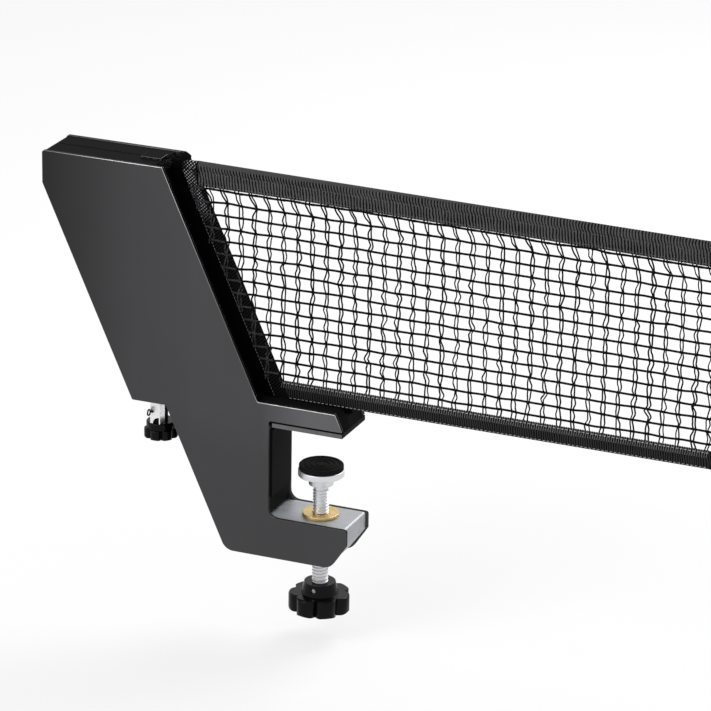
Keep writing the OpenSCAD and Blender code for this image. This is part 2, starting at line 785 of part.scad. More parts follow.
module height_knob() {
    top = -bracket_drop - 0.2;
    color([0.04, 0.04, 0.05]) difference() {
        translate([-height_out, 0, 0]) union() {
            rotate_extrude() polygon(rounded([
                [0, top, 0], [hub_d / 2, top, 1], [hub_d / 2, top - hub_h, 0], [0, top - hub_h, 0]]));
            rotate(-90) grip(height_knob_d, height_knob_h, top - hub_h, lobe_count);
        }
        bar_z(-height_out, stud_d + 2 * run_gap, stud_low - run_gap, top + cut);
    }
}

module pad_cup() {
    color([0.78, 0.79, 0.8]) difference() {
        union() {
            bar_z(clamp_x, pad_d, cup_low, cup_top);
            bar_z(clamp_x, pad_hub_d, hub_low, cup_low);
        }
        bar_z(clamp_x, neck_d + 2 * run_gap, hub_low - cut, cup_top + cut);
        bar_z(clamp_x, head_d + 0.6, cup_top - head_h - 0.5, cup_top + cut);
    }
}

module pad_rubber() {
    color([0.05, 0.05, 0.05]) bar_z(clamp_x, pad_d - 1, cup_top, pad_top);
}

module clamp_spindle() {
    bottom = knob_top - clamp_knob_h + knob_floor;
    color([0.8, 0.81, 0.82]) difference() {
        union() {
            bar_z(clamp_x, spindle_d, bottom, hub_low - 0.2);
            bar_z(clamp_x, neck_d, hub_low - 0.2, cup_top - head_h - 0.3);
            bar_z(clamp_x, head_d, cup_top - head_h - 0.3, cup_top - 0.3);
        }
        bar_y([clamp_x, knob_top - boss_h / 2], knob_pin_d, -boss_d, boss_d);
    }
}

module clamp_knob() {
    bore_low = knob_top - clamp_knob_h + knob_floor - run_gap;
    color([0.04, 0.04, 0.05]) difference() {
        translate([clamp_x, 0, 0]) union() {
            translate([0, 0, knob_top - boss_h]) cylinder(d1 = boss_d + 4, d2 = boss_d, h = boss_h);
            grip(clamp_knob_d, clamp_knob_h - boss_h, knob_top - boss_h, lobe_count);
        }
        bar_z(clamp_x, spindle_d + 2 * run_gap, bore_low, knob_top + cut);
        bar_y([clamp_x, knob_top - boss_h / 2], knob_pin_d, -boss_d, boss_d);
    }
}

module knob_pin() {
    color([0.75, 0.76, 0.78])
        bar_y([clamp_x, knob_top - boss_h / 2], knob_pin_d - 2 * run_gap, -boss_d / 2, boss_d / 2);
}

front_plate();
rear_plate();
standoffs();
plate_screws();
frame_block();
foot_plate();
foot_screws();
foot_pad();
edge_buffer();
clamp_block();
clamp_bush();
height_guide();
height_bracket();
bracket_screw();
core_front();
core_rear();
core_screws();
carrier_nut();
net_rod();
rod_plug();
net_side_tape();
net_top_band();
net_lower_tape();
net_mesh();
net_cord();
cord_stop();
net_end_tape();
net_end_rod();
cord_lock();
height_stud();
stud_collar();
height_knob();
pad_cup();
pad_rubber();
clamp_spindle();
clamp_knob();
knob_pin();
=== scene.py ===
"""A table tennis net post with its table clamp, dressed for a studio picture.

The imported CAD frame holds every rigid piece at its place. This script gives those pieces their
finishes and soft edges, models the net, its tapes, cord and stitching, cuts the screw threads,
and sets the camera and the lights. Lengths are metres, but a finish's pattern counts in
millimetres where it reads the object's axes. Names that end in _mm are millimetres.
"""
from __future__ import annotations

import json
import logging
import math
import random
from collections.abc import Callable, Iterator, Sequence
from contextlib import contextmanager
from dataclasses import dataclass, field
from enum import Enum
from typing import ClassVar, Union

import bmesh
import bpy
from mathutils import Matrix, Vector

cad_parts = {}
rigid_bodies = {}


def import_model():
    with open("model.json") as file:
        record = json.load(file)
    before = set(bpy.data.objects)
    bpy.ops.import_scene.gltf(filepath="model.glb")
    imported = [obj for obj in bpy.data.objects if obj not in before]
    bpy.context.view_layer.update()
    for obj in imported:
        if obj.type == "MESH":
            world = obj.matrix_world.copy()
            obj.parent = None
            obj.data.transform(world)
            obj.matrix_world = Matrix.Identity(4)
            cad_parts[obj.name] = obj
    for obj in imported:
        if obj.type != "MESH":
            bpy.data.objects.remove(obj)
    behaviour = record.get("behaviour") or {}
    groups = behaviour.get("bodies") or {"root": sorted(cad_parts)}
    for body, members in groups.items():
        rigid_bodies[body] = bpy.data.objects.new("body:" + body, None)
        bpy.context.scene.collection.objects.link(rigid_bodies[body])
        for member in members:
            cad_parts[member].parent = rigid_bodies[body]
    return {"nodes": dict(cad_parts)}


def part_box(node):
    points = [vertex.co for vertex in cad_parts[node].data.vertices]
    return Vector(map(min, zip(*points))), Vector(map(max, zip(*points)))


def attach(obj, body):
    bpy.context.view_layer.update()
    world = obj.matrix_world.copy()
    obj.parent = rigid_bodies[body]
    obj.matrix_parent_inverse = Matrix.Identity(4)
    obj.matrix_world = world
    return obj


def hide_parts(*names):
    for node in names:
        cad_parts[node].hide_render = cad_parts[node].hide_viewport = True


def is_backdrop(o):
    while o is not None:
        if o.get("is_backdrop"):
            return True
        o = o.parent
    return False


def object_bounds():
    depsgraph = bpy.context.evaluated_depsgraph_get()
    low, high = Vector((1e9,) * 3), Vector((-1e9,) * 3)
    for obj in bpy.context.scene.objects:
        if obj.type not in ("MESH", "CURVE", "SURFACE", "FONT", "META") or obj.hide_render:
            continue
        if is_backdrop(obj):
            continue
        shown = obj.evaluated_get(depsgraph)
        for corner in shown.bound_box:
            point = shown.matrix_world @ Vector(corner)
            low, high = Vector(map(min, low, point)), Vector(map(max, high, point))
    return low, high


log = logging.getLogger("net_post")

MM = 0.001
Triple = tuple[float, float, float]
Colour = Triple
Route = list[tuple[Vector, float]]
# The middle and the half width of a soft step, and a zone: its steps along X and Z, and a strength.
Step = tuple[float, float]
Zone = tuple[Step, Step, float]


class Body(Enum):
    """The bodies of the frame that the modelled pieces ride on."""

    NET = "net_carrier"
    SCREW = "clamp_screw"
    PAD = "clamp_pad"
    HEIGHT = "height_screw"


# ---------------------------------------------------------------- shader arithmetic


class Value:
    """A number in a node tree. Python's arithmetic on it adds Math nodes."""

    def __init__(self, graph: Graph, socket: bpy.types.NodeSocket) -> None:
        """Wraps a socket of the graph."""
        self.graph = graph
        self.socket = socket

    def __add__(self, other: Operand) -> Value:
        """This value plus another."""
        return self.graph.maths("ADD", self, other)

    def __sub__(self, other: Operand) -> Value:
        """This value less another."""
        return self.graph.maths("SUBTRACT", self, other)

    def __rsub__(self, other: Operand) -> Value:
        """Another value less this one."""
        return self.graph.maths("SUBTRACT", other, self)

    def __mul__(self, other: Operand) -> Value:
        """This value times another."""
        return self.graph.maths("MULTIPLY", self, other)

    __radd__ = __add__
    __rmul__ = __mul__

    def wave(self) -> Value:
        """A sine of this value, from 0 to 1."""
        return self.graph.maths("SINE", self) * 0.5 + 0.5

    def above(self, edge: float, blur: float) -> Value:
        """1 where this value is above an edge, 0 below, with a soft step.

        Args:
            edge: The value at the middle of the step.
            blur: Half the width of the step.

        Returns:
            The step, from 0 to 1.
        """
        return self.graph.maths("MULTIPLY_ADD", self, 0.5 / blur, 0.5 - edge * 0.5 / blur, clamp=True)

    def size(self) -> Value:
        """This value without its sign."""
        return self.graph.maths("ABSOLUTE", self)

    def largest(self, other: Operand) -> Value:
        """The larger of this value and another."""
        return self.graph.maths("MAXIMUM", self, other)


Operand = Union[Value, float]
Input = Union[Value, bpy.types.NodeSocket, float, Colour, Vector]


class Graph:
    """The node tree of a material or the world."""

    MIX_FACTOR: ClassVar[int] = 0
    MIX_FIRST: ClassVar[int] = 6
    MIX_SECOND: ClassVar[int] = 7
    MIX_RESULT: ClassVar[int] = 2

    def __init__(self, tree: bpy.types.NodeTree) -> None:
        """Starts from an empty tree."""
        self.tree = tree
        tree.nodes.clear()

    @classmethod
    def of(cls, block: bpy.types.ID) -> Graph:
        """Starts the node tree of a material or a world."""
        block.use_nodes = True
        return cls(block.node_tree)

    def node(self, kind: str, settings: dict | None = None, inputs: dict | None = None) -> bpy.types.Node:
        """Adds a node.

        Args:
            kind: The node's type.
            settings: Its own properties, set first.
            inputs: Values or links for its sockets, by name or number.

        Returns:
            The new node.
        """
        made = self.tree.nodes.new(kind)
        for name, value in (settings or {}).items():
            setattr(made, name, value)
        for key, value in (inputs or {}).items():
            socket = made.inputs[key]
            if isinstance(value, Value):
                self.tree.links.new(value.socket, socket)
            elif isinstance(value, bpy.types.NodeSocket):
                self.tree.links.new(value, socket)
            elif socket.type == "RGBA" and len(value) == 3:
                socket.default_value = (*value, 1.0)
            else:
                socket.default_value = value
        return made

    def maths(self, operation: str, *operands: Operand, clamp: bool = False) -> Value:
        """Adds a Math node on values or plain numbers."""
        settings = {"operation": operation, "use_clamp": clamp}
        made = self.node("ShaderNodeMath", settings, dict(enumerate(operands)))
        return Value(self, made.outputs[0])

    def place(self, size: float | Triple = MM, turn: Triple = (0.0, 0.0, 0.0)) -> bpy.types.NodeSocket:
        """The object's own coordinates, counted in pattern sizes.

        Args:
            size: The size that counts as 1, or one for each axis.
            turn: A turn of the pattern round each axis, in radians.

        Returns:
            The vector socket.
        """
        sizes = size if isinstance(size, tuple) else (size, size, size)
        coords = self.node("ShaderNodeTexCoord").outputs["Object"]
        turned = self.node("ShaderNodeMapping", {}, {"Vector": coords, "Rotation": turn})
        scale = Vector([1 / s for s in sizes])
        return self.node("ShaderNodeMapping", {}, {"Vector": turned.outputs[0], "Scale": scale}).outputs[0]

    def axes(self, size: float = MM) -> tuple[Value, Value, Value]:
        """The object's X, Y and Z in pattern sizes."""
        split = self.node("ShaderNodeSeparateXYZ", {}, {0: self.place(size)})
        return tuple(Value(self, output) for output in split.outputs)

    def noise(self, size: float | Triple, detail: float = 2.0, turn: Triple = (0.0, 0.0, 0.0)) -> Value:
        """Cloudy noise whose lumps have a size, from 0 to 1."""
        inputs = {"Vector": self.place(size, turn), "Scale": 1.0, "Detail": detail}
        return Value(self, self.node("ShaderNodeTexNoise", {}, inputs).outputs[0])

    def grains(self, size: float) -> Value:
        """Distance to the nearest of many scattered grains of a size."""
        inputs = {"Vector": self.place(size), "Scale": 1.0}
        return Value(self, self.node("ShaderNodeTexVoronoi", {}, inputs).outputs["Distance"])

    def mix(self, factor: Operand, first: Input, second: Input) -> bpy.types.NodeSocket:
        """A colour between two, by a factor from 0 to 1."""
        inputs = {self.MIX_FACTOR: factor, self.MIX_FIRST: first, self.MIX_SECOND: second}
        made = self.node("ShaderNodeMix", {"data_type": "RGBA", "clamp_factor": True}, inputs)
        return made.outputs[self.MIX_RESULT]

    def bump(self, height: Value, depth: float, strength: float = 1.0) -> bpy.types.NodeSocket:
        """A normal that a height from 0 to 1 raises by a depth."""
        inputs = {"Height": height, "Distance": depth, "Strength": strength}
        return self.node("ShaderNodeBump", {}, inputs).outputs[0]


# ---------------------------------------------------------------- finishes


@dataclass(frozen=True)
class Finish:
    """A surface finish: a plain shader that each kind of finish adds its pattern to."""

    name: str
    colour: Colour
    roughness: float = 0.5
    metallic: float = 0.0
    specular: float = 0.5
    ior: float = 1.5
    made: ClassVar[dict[str, bpy.types.Material]] = {}

    def pattern(self, graph: Graph) -> dict:
        """The sockets of the shader that vary over the surface."""
        return {}

    def fixed(self) -> dict:
        """The sockets of the shader that are the same all over."""
        return {"Specular IOR Level": self.specular, "Metallic": self.metallic, "IOR": self.ior}

    def shade(self, factor: float) -> Colour:
        """The finish's colour, made lighter or darker."""
        return tuple(min(1.0, c * factor) for c in self.colour)

    def between(self, graph: Graph, tone: Operand, dark: float, light: float) -> bpy.types.NodeSocket:
        """A colour between two shades of the finish's own, by a tone from 0 to 1."""
        return graph.mix(tone, self.shade(dark), self.shade(light))

    def sockets(
        self, colour: bpy.types.NodeSocket, gloss: Value, normal: bpy.types.NodeSocket, drop: float = 0.1
    ) -> dict:
        """The sockets of a pattern.

        Args:
            colour: The surface's colour.
            gloss: What varies in the roughness.
            normal: The relief.
            drop: How far below the finish's own the roughness starts.

        Returns:
            The sockets, by name.
        """
        return {"Base Color": colour, "Roughness": gloss + (self.roughness - drop), "Normal": normal}

    def material(self) -> bpy.types.Material:
        """The material of this finish, made once."""
        if self.name not in self.made:
            material = bpy.data.materials.new(self.name)
            graph = Graph.of(material)
            inputs = {"Base Color": self.colour, "Roughness": self.roughness}
            inputs |= self.fixed() | self.pattern(graph)
            shader = graph.node("ShaderNodeBsdfPrincipled", {}, inputs)
            graph.node("ShaderNodeOutputMaterial", {}, {"Surface": shader.outputs[0]})
            material.diffuse_color = (*self.colour, 1.0)
            self.made[self.name] = material
        return self.made[self.name]


@dataclass(frozen=True)
class PowderCoat(Finish):
    """Satin powder coat on steel plate: a fine orange peel, faint clouds and hand marks."""

    # Soft steps of painted light and shade: the plate lightens inwards, the foot's tongue is painted much
    # lighter and the arm below darker.
    OUTER_BLADE_LIGHT: ClassVar[Step] = (-118.0, 28.0)
    INNER_BLADE_LIGHT: ClassVar[Step] = (-68.0, 18.0)
    FOOT_HIGHLIGHT_X: ClassVar[Step] = (20.0, 26.0)
    FOOT_HIGHLIGHT_Z: ClassVar[Step] = (-8.0, 12.0)
    ARM_SHADE_DEPTH: ClassVar[Step] = (8.0, 14.0)
    RIM: ClassVar[float] = 0.3
    SKIN: ClassVar[float] = 0.25
    BLUR: ClassVar[float] = 0.05

    peel: float = 0.5 * MM
    outside: float = 17.5
    inside: float = 15.0

    def pattern(self, graph: Graph) -> dict:
        """Peel in the bump, clouds in the colour, marks in the gloss, and painted light and shade: lighter
        towards the inner edge and on the foot's tongue, darker on the arm below and on the edge faces.
        """
        peel = graph.noise(self.peel, 3.0)
        clouds = graph.noise((46 * MM, 30 * MM, 70 * MM), 2.0)
        marks = graph.noise((9 * MM, 9 * MM, 26 * MM), 4.0, (0.0, 0.5, 0.0))
        x, y, z = graph.axes()
        off = y.size()
        # Painted shade: the edge faces between the plate's outer and inner faces are coloured near black.
        past_inside = off.above(self.inside + self.RIM, self.BLUR)
        edge_face_shade = past_inside * (self.outside - off).above(self.SKIN, self.BLUR)
        # Painted light inwards and on the tongue, painted shade on the arm.
        blade_light = x.above(*self.OUTER_BLADE_LIGHT) * 0.33 + x.above(*self.INNER_BLADE_LIGHT) * 0.1
        foot = x.above(*self.FOOT_HIGHLIGHT_X) * z.above(*self.FOOT_HIGHLIGHT_Z) * 0.95
        arm = (z * -1.0).above(*self.ARM_SHADE_DEPTH) * 0.08
        tone = blade_light + foot - arm + (clouds - 0.5) * 0.12 + (peel - 0.5) * 0.05
        face = self.between(graph, tone, 0.58, 3.0)
        relief = graph.bump(peel, 0.04 * MM, 0.5)
        return self.sockets(graph.mix(edge_face_shade, face, self.shade(0.12)), marks * 0.16, relief, drop=0.08)


@dataclass(frozen=True)
class EdgeWearAndHighlight(Finish):
    """The coat's edge, worn through to bright steel in places, with painted highlights where edges catch the
    light.
    """

    # Zones where the edge shows bright: worn steel and painted highlights; the strength grades the highlight.
    ZONES: ClassVar[dict[str, Zone]] = {
        "top": ((-128.0, 34.0), (151.2, 0.6), 1.0),
        "inner corner": ((-90.0, 8.0), (85.0, 55.0), 0.9),
        "foot": ((-11.0, 2.5), (9.0, 5.0), 1.0),
        "slant": ((-60.0, 14.0), (10.0, 6.0), 0.22),
    }

    wear_and_highlight: float = 1.0
    coat: Colour = (0.03, 0.03, 0.03)

    def pattern(self, graph: Graph) -> dict:
        """Bright steel where hands and the table rub, and painted highlights along the edges: at the top, its
        inner corner and the foot.
        """
        x, _, z = graph.axes()
        worn: Operand = 0.0
        for across, up, strength in self.ZONES.values():
            worn = (x.above(*across) * z.above(*up) * strength).largest(worn)
        nicks = graph.noise(1.3 * MM, 3.0)
        patches = graph.noise(20 * MM, 2.0).above(0.42, 0.2) * 0.5 + 0.5
        bare_and_highlit = worn * patches * (nicks * 0.5 + 0.75) * self.wear_and_highlight
        return {
            "Base Color": graph.mix(bare_and_highlit, self.coat, self.colour),
            "Metallic": bare_and_highlit * self.metallic,
            "Roughness": nicks * 0.2 + (self.roughness - 0.1),
        }


@dataclass(frozen=True)
class BrushedSteel(Finish):
    """Steel drawn or ground in one direction, with a few scratches."""

    grain: Triple = (8 * MM, 0.25 * MM, 0.25 * MM)
    # Painted shade: past x = end (mm) and above z = top (mm) the colour is near black.
    end: float = 1000.0
    top: float = 1000.0

    def pattern(self, graph: Graph) -> dict:
        """Grain in the bump, the gloss and the colour, with painted shade near black on the end face and along
        the upper edge.
        """
        x, _, z = graph.axes()
        grain = graph.noise(self.grain, 4.0)
        stains = graph.noise(7 * MM, 3.0)
        ground = self.between(graph, grain * 0.6 + stains * 0.4, 0.6, 1.35)
        # Painted shade on the end face and the upper edge.
        dark = x.above(self.end, 0.15).largest(z.above(self.top, 0.12))
        relief = graph.bump(grain, 0.02 * MM, 0.6)
        gloss = grain * 0.22 + stains * 0.1
        return self.sockets(graph.mix(dark, ground, self.shade(0.02)), gloss, relief, drop=0.15)


@dataclass(frozen=True)
class ZincPlate(Finish):
    """Bright zinc on folded sheet: a fine spangle under a clear, faintly cloudy skin."""

    def pattern(self, graph: Graph) -> dict:
        """Spangle in the colour and the gloss."""
        spangle = graph.grains(0.9 * MM)
        cloud = graph.noise(5 * MM, 3.0)
        tone = spangle * 0.5 + cloud * 0.5
        relief = graph.bump(spangle, 0.015 * MM, 0.4)
        return self.sockets(self.between(graph, tone, 0.84, 1.08), cloud * 0.2, relief)


@dataclass(frozen=True)
class TurnedMetal(Finish):
    """Metal from the lathe: fine rings round Z and a little oil."""

    pitch: float = 0.35 * MM

    def pattern(self, graph: Graph) -> dict:
        """Rings in the bump, oil in the gloss."""
        _, _, z = graph.axes(self.pitch)
        rings = (z * math.tau).wave()
        oil = graph.noise(4 * MM, 3.0)
        relief = graph.bump(rings, 0.012 * MM, 0.5)
        return self.sockets(self.between(graph, oil, 0.7, 1.2), oil * 0.25, relief)


@dataclass(frozen=True)
class CastMetal(Finish):
    """Die-cast alloy with a sandy skin."""

    def pattern(self, graph: Graph) -> dict:
        """Sand in the bump, faint flow marks in the colour."""
        sand = graph.grains(0.5 * MM)
        flow = graph.noise((14 * MM, 5 * MM, 5 * MM), 3.0)
        relief = graph.bump(sand, 0.04 * MM, 0.6)
        return self.sockets(self.between(graph, flow, 0.75, 1.15), flow * 0.2, relief)


@dataclass(frozen=True)
class MattePlastic(Finish):
    """Fine-grained black moulding with faint streaks along its length."""

    grain: float = 0.28 * MM
    streaks: Triple = (34 * MM, 1.7 * MM, 34 * MM)

    def pattern(self, graph: Graph) -> dict:
        """Grain in the bump, streaks in the colour and the gloss."""
        grain = graph.grains(self.grain)
        streak = graph.noise(self.streaks, 4.0)
        relief = graph.bump(grain, 0.03 * MM, 0.5)
        return self.sockets(self.between(graph, streak * 1.6 - 0.3, 0.6, 1.55), streak * 0.2, relief)


@dataclass(frozen=True)
class GlossPlastic(Finish):
    """Polished black moulding with faint sink marks and rub marks."""

    def pattern(self, graph: Graph) -> dict:
        """Sink marks in the bump, rub marks in the gloss."""
        sink = graph.noise(6 * MM, 1.0)
        rubs = graph.noise((0.5 * MM, 7 * MM, 2 * MM), 5.0, (0.3, 0.2, 0.7))
        relief = graph.bump(sink, 0.15 * MM, 0.3)
        return self.sockets(self.between(graph, rubs, 0.7, 1.5), rubs * 0.3, relief)


@dataclass(frozen=True)
class Rubber(Finish):
    """Soft black rubber with a dusty bloom and fine moulded ribs."""

    rib: float = 1.5 * MM

    def pattern(self, graph: Graph) -> dict:
        """Ribs across Z in the bump, bloom in the colour."""
        _, _, z = graph.axes(self.rib)
        ribs = (z * math.tau).wave()
        bloom = graph.noise(3.5 * MM, 5.0)
        relief = graph.bump(ribs * 0.7 + bloom * 0.3, 0.12 * MM, 0.5)
        return self.sockets(self.between(graph, bloom, 0.7, 1.7), bloom * 0.15, relief)


@dataclass(frozen=True)
class TwillTape(Finish):
    """Woven tape: a twill that leans one way, painted lightest in a band just past the fold and painted near
    black up to it.
    """

    YARN_RATE: ClassVar[float] = 1.3
    PLEAT_PITCH: ClassVar[float] = 1.9

    pitch: float = 2.2
    lean_run: float = 0.0
    fold: float = -1000.0
    light_w: float = -1.0
    light_low: float = -1000.0
    fade: float = 0.4
    pleats_from: float = 1000.0

    def pattern(self, graph: Graph) -> dict:
        """Twill and yarns in the bump and the colour, painted shade in near black up to the fold, painted
        highlight specks past it, and pleats at the top painted as light stripes.
        """
        x, _, z = graph.axes()
        wander = graph.noise(6 * MM, 2.0)
        twill = ((x - z + wander) * (math.tau / self.pitch)).wave()
        yarns = ((x * 0.8 + z) * (math.tau * self.YARN_RATE / self.pitch)).wave()
        fuzz = graph.noise(0.7 * MM, 4.0)
        weave = twill * yarns * 0.8 + fuzz * 0.2
        # Painted shade: up to the fold the tape is coloured near black.
        past = x + z * self.lean_run - self.fold
        flat = past.above(0.1, self.fade)
        # Painted highlight: specks of light in a band past the fold, above light_low.
        light = flat * (self.light_w - past).above(0.0, 0.8) * z.above(self.light_low, 6.0)
        # Painted light and shade: pleats drawn as lighter stripes in the colour above pleats_from.
        pleats = ((x + wander) * (math.tau / self.PLEAT_PITCH)).wave().above(0.45, 0.25)
        pleats = pleats * z.above(self.pleats_from, 0.8)
        dull = self.between(graph, weave.above(0.45, 0.2) + pleats * 2.2, 0.15, 2.2)
        lit = self.between(graph, weave.above(0.5, 0.12), 0.5, 44.0)
        cloth = graph.mix(light, dull, lit)
        relief = graph.bump(weave, 0.16 * MM, 0.8)
        return self.sockets(graph.mix(flat, self.shade(0.2), cloth), fuzz * 0.2, relief)


@dataclass(frozen=True)
class RibbedWebbing(Finish):
    """Charcoal webbing with upright ribs that wander, and darker gaps between them, deepened with painted
    shade.
    """

    PICK_PITCH: ClassVar[float] = 0.8
    SEAM_W: ClassVar[float] = 1.0

    pitch: float = 1.9
    ribs_top: float = 1000.0
    start: float = -1000.0
    dark: float = 0.06
    light: float = 3.3

    def pattern(self, graph: Graph) -> dict:
        """Ribs, cross threads and fuzz, with a plain roll above and a dark seam at the start."""
        x, _, z = graph.axes()
        wander = graph.noise((7 * MM, 7 * MM, 6 * MM), 2.0)
        ribs = ((x + z * 0.1 + wander * 1.9) * (math.tau / self.pitch)).wave()
        picks = ((z + ribs * 0.5) * (math.tau / self.PICK_PITCH)).wave()
        fuzz = graph.noise(0.6 * MM, 4.0)
        patches = graph.noise((26 * MM, 26 * MM, 8 * MM), 2.0)
        ribbed = ribs.above(0.5, 0.3) * 0.8 + picks * 0.12 + fuzz * 0.35 + patches * 0.4 - 0.4
        roll = fuzz * 0.3 + 0.4
        rolled = z.above(self.ribs_top, 0.35)
        lit = ribbed * (1.0 - rolled) + roll * rolled
        # The ribs' texture with painted light on the ribs and painted shade in the gaps, between dark and
        # light.
        cloth = self.between(graph, lit, self.dark, self.light)
        past_seam = x.above(self.start + self.SEAM_W, 0.15)
        relief = graph.bump(picks * 0.5 + fuzz * 0.5, 0.12 * MM, 0.8)
        return self.sockets(graph.mix(past_seam, self.shade(0.06), cloth), fuzz * 0.2, relief)


@dataclass(frozen=True)
class TwistedThread(Finish):
    """Thread or cord of twisted black filaments, with a slight shine."""

    twist: float = 0.7 * MM
    lean_run: float = 0.0
    tape_edge: float = -1000.0
    glint_gain: float = 9.0

    def pattern(self, graph: Graph) -> dict:
        """Filaments on a slant in the bump, worn spots, and fuzz specks painted light as highlights where it
        is sewn to the tape.
        """
        x, y, z = graph.axes(self.twist)
        strands = ((x + y * 0.6 + z) * math.tau).wave()
        worn = graph.noise(2.5 * MM, 3.0)
        fuzz = graph.noise(0.8 * MM, 3.0).above(0.5, 0.12)
        along, _, height = graph.axes()
        # Painted highlight: specks on the thread where it crosses the tape are coloured much lighter.
        sewn = (self.tape_edge - along - height * self.lean_run).above(0.4, 0.6) * fuzz
        yarn = self.between(graph, strands * 0.4 + worn * 0.6, 0.5, 1.9)
        relief = graph.bump(strands, 0.07 * MM, 0.7)
        return self.sockets(graph.mix(sewn, yarn, self.shade(self.glint_gain)), worn * 0.25, relief, drop=0.12)


class Finishes:
    """Every finish of the post and its net."""

    plate = PowderCoat("satin_charcoal_coat", (0.0445, 0.0445, 0.0465), 0.46, 0.0, 0.4, 1.18)
    # Bevel finishes of the plates: worn steel with painted highlights, fainter on the rear plate.
    plate_edge = EdgeWearAndHighlight("rubbed_plate_edge", (0.80, 0.80, 0.81), 0.34, 0.9)
    rear_edge = EdgeWearAndHighlight("rubbed_rear_edge", (0.80, 0.80, 0.81), 0.34, 0.9, wear_and_highlight=0.3)
    # Its last two numbers place the painted shade on the end face and the upper edge.
    foot = BrushedSteel("satin_foot_steel", (0.15, 0.152, 0.153), 0.5, 0.1, 0.3, 1.12,
                        (0.5 * MM, 6 * MM, 5 * MM), 46.4, 3.0)
    zinc = ZincPlate("bright_zinc", (0.74, 0.75, 0.77), 0.38, 0.85)
    # A lighter copy of the zinc for the bracket: painted light.
    bracket_zinc_lit = ZincPlate("pale_bracket_zinc", (0.88, 0.88, 0.895), 0.3, 0.9)
    steel = TurnedMetal("oiled_steel", (0.50, 0.51, 0.53), 0.34, 1.0)
    black_oxide = TurnedMetal("black_oxide_steel", (0.008, 0.008, 0.009), 0.4, 0.0, 0.4, 1.2)
    brass = TurnedMetal("turned_brass", (0.66, 0.48, 0.20), 0.34, 1.0)
    alloy = CastMetal("cast_alloy", (0.40, 0.41, 0.43), 0.5, 0.85)
    moulding = MattePlastic("black_moulding", (0.0060, 0.0060, 0.0062), 0.5, 0.0, 0.2, 1.08)
    # The mouldings' bevels in a lighter colour: painted highlight.
    moulding_edge = Finish("moulding_edge", (0.045, 0.045, 0.047), 0.35, 0.0, 0.5, 1.2)
    # The cord lock's bevels in a light grey: painted highlight.
    lock_edge_highlight = Finish("rubbed_lock_edge", (0.34, 0.34, 0.345), 0.35, 0.0, 0.5, 1.3)
    knob = GlossPlastic("polished_black_knob", (0.0025, 0.0025, 0.003), 0.16, 0.0, 0.5, 1.2)
    rubber = Rubber("black_rubber", (0.007, 0.007, 0.007), 0.75, 0.0, 0.3, 1.15)
    # The overlock and hem threads are coloured light grey: painted glints on black thread.
    loop = TwistedThread("overlock_thread", (0.19, 0.19, 0.195), 0.45, 0.0, 0.5, 1.3)
    hem = TwistedThread("hem_thread", (0.42, 0.42, 0.43), 0.45, 0.0, 0.5, 1.3)
    stitch = TwistedThread("sewing_thread", (0.11, 0.11, 0.115), 0.45, 0.0, 0.5, 1.3)
    cord = TwistedThread("braided_cord", (0.006, 0.006, 0.007), 0.55, 0.0, 0.35, 1.15)


# ---------------------------------------------------------------- modelling


def unit(value: float) -> float:
    """The value, held between 0 and 1."""
    return min(1.0, max(0.0, value))


def centre(node: str) -> Triple:
    """X, Y and Z of the middle of a node's box."""
    low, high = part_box(node)
    return tuple((a + b) / 2 for a, b in zip(low, high))


def only(piece: bpy.types.Object) -> None:
    """Selects one object alone and makes it active."""
    bpy.ops.object.select_all(action="DESELECT")
    piece.select_set(True)
    bpy.context.view_layer.objects.active = piece


def added(name: str, operator: Callable[..., set[str]], **settings: object) -> bpy.types.Object:
    """The object that an operator adds, named and selected alone."""
    bpy.ops.object.select_all(action="DESELECT")
    operator(**settings)
    piece = bpy.context.object
    piece.name = name
    return piece


def join(piece: bpy.types.Object, other: bpy.types.Object) -> None:
    """Joins another object into a piece."""
    only(piece)
    other.select_set(True)
    bpy.ops.object.join()


@contextmanager
def editing(piece: bpy.types.Object, mode: str = "VERT") -> Iterator[bmesh.types.BMesh]:
    """Edit mode on one object, with nothing selected.

    Args:
        piece: The object to edit.
        mode: What is selected: VERT, EDGE or FACE.

    Yields:
        The edit mesh.
    """
    only(piece)
    bpy.ops.object.mode_set(mode="EDIT")
    bpy.ops.mesh.select_mode(type=mode)
    bpy.ops.mesh.select_all(action="DESELECT")
    yield bmesh.from_edit_mesh(piece.data)
    bpy.ops.object.mode_set(mode="OBJECT")


def apply_modifiers(piece: bpy.types.Object) -> None:
    """Applies the piece's modifiers from the first to the last."""
    only(piece)
    for modifier in list(piece.modifiers):
        bpy.ops.object.modifier_apply(modifier=modifier.name)


def repeated(piece: bpy.types.Object, step: Triple, count: int, both_faces: bool = False) -> None:
    """Repeats a piece along a step, and on the other face of the net if that is asked."""
    row = piece.modifiers.new("row", "ARRAY")
    row.use_relative_offset = False
    row.use_constant_offset = True
    row.constant_offset_displace = step
    row.count = count
    if both_faces:
        piece.modifiers.new("both", "MIRROR").use_axis = (False, True, False)
    apply_modifiers(piece)


def settle(piece: bpy.types.Object) -> None:
    """Puts the piece's place, turn and size into its mesh."""
    only(piece)
    bpy.ops.object.transform_apply(location=True, rotation=True, scale=True)


def smooth(piece: bpy.types.Object, angle: float = 35.0) -> None:
    """Smooth shading, with edges over an angle kept sharp."""
    only(piece)
    bpy.ops.object.shade_smooth_by_angle(angle=math.radians(angle))


def close_and_turn_out(piece: bpy.types.Object, merge: float = 0.001 * MM) -> None:
    """Merges doubles, closes open ends and points the faces outwards."""
    with editing(piece) as mesh:
        bpy.ops.mesh.select_all(action="SELECT")
        bpy.ops.mesh.remove_doubles(threshold=merge)
        bpy.ops.mesh.fill_holes(sides=0)
        bpy.ops.mesh.select_all(action="SELECT")
        bpy.ops.mesh.normals_make_consistent(inside=False)
        bmesh.update_edit_mesh(piece.data)
        assert mesh.is_valid


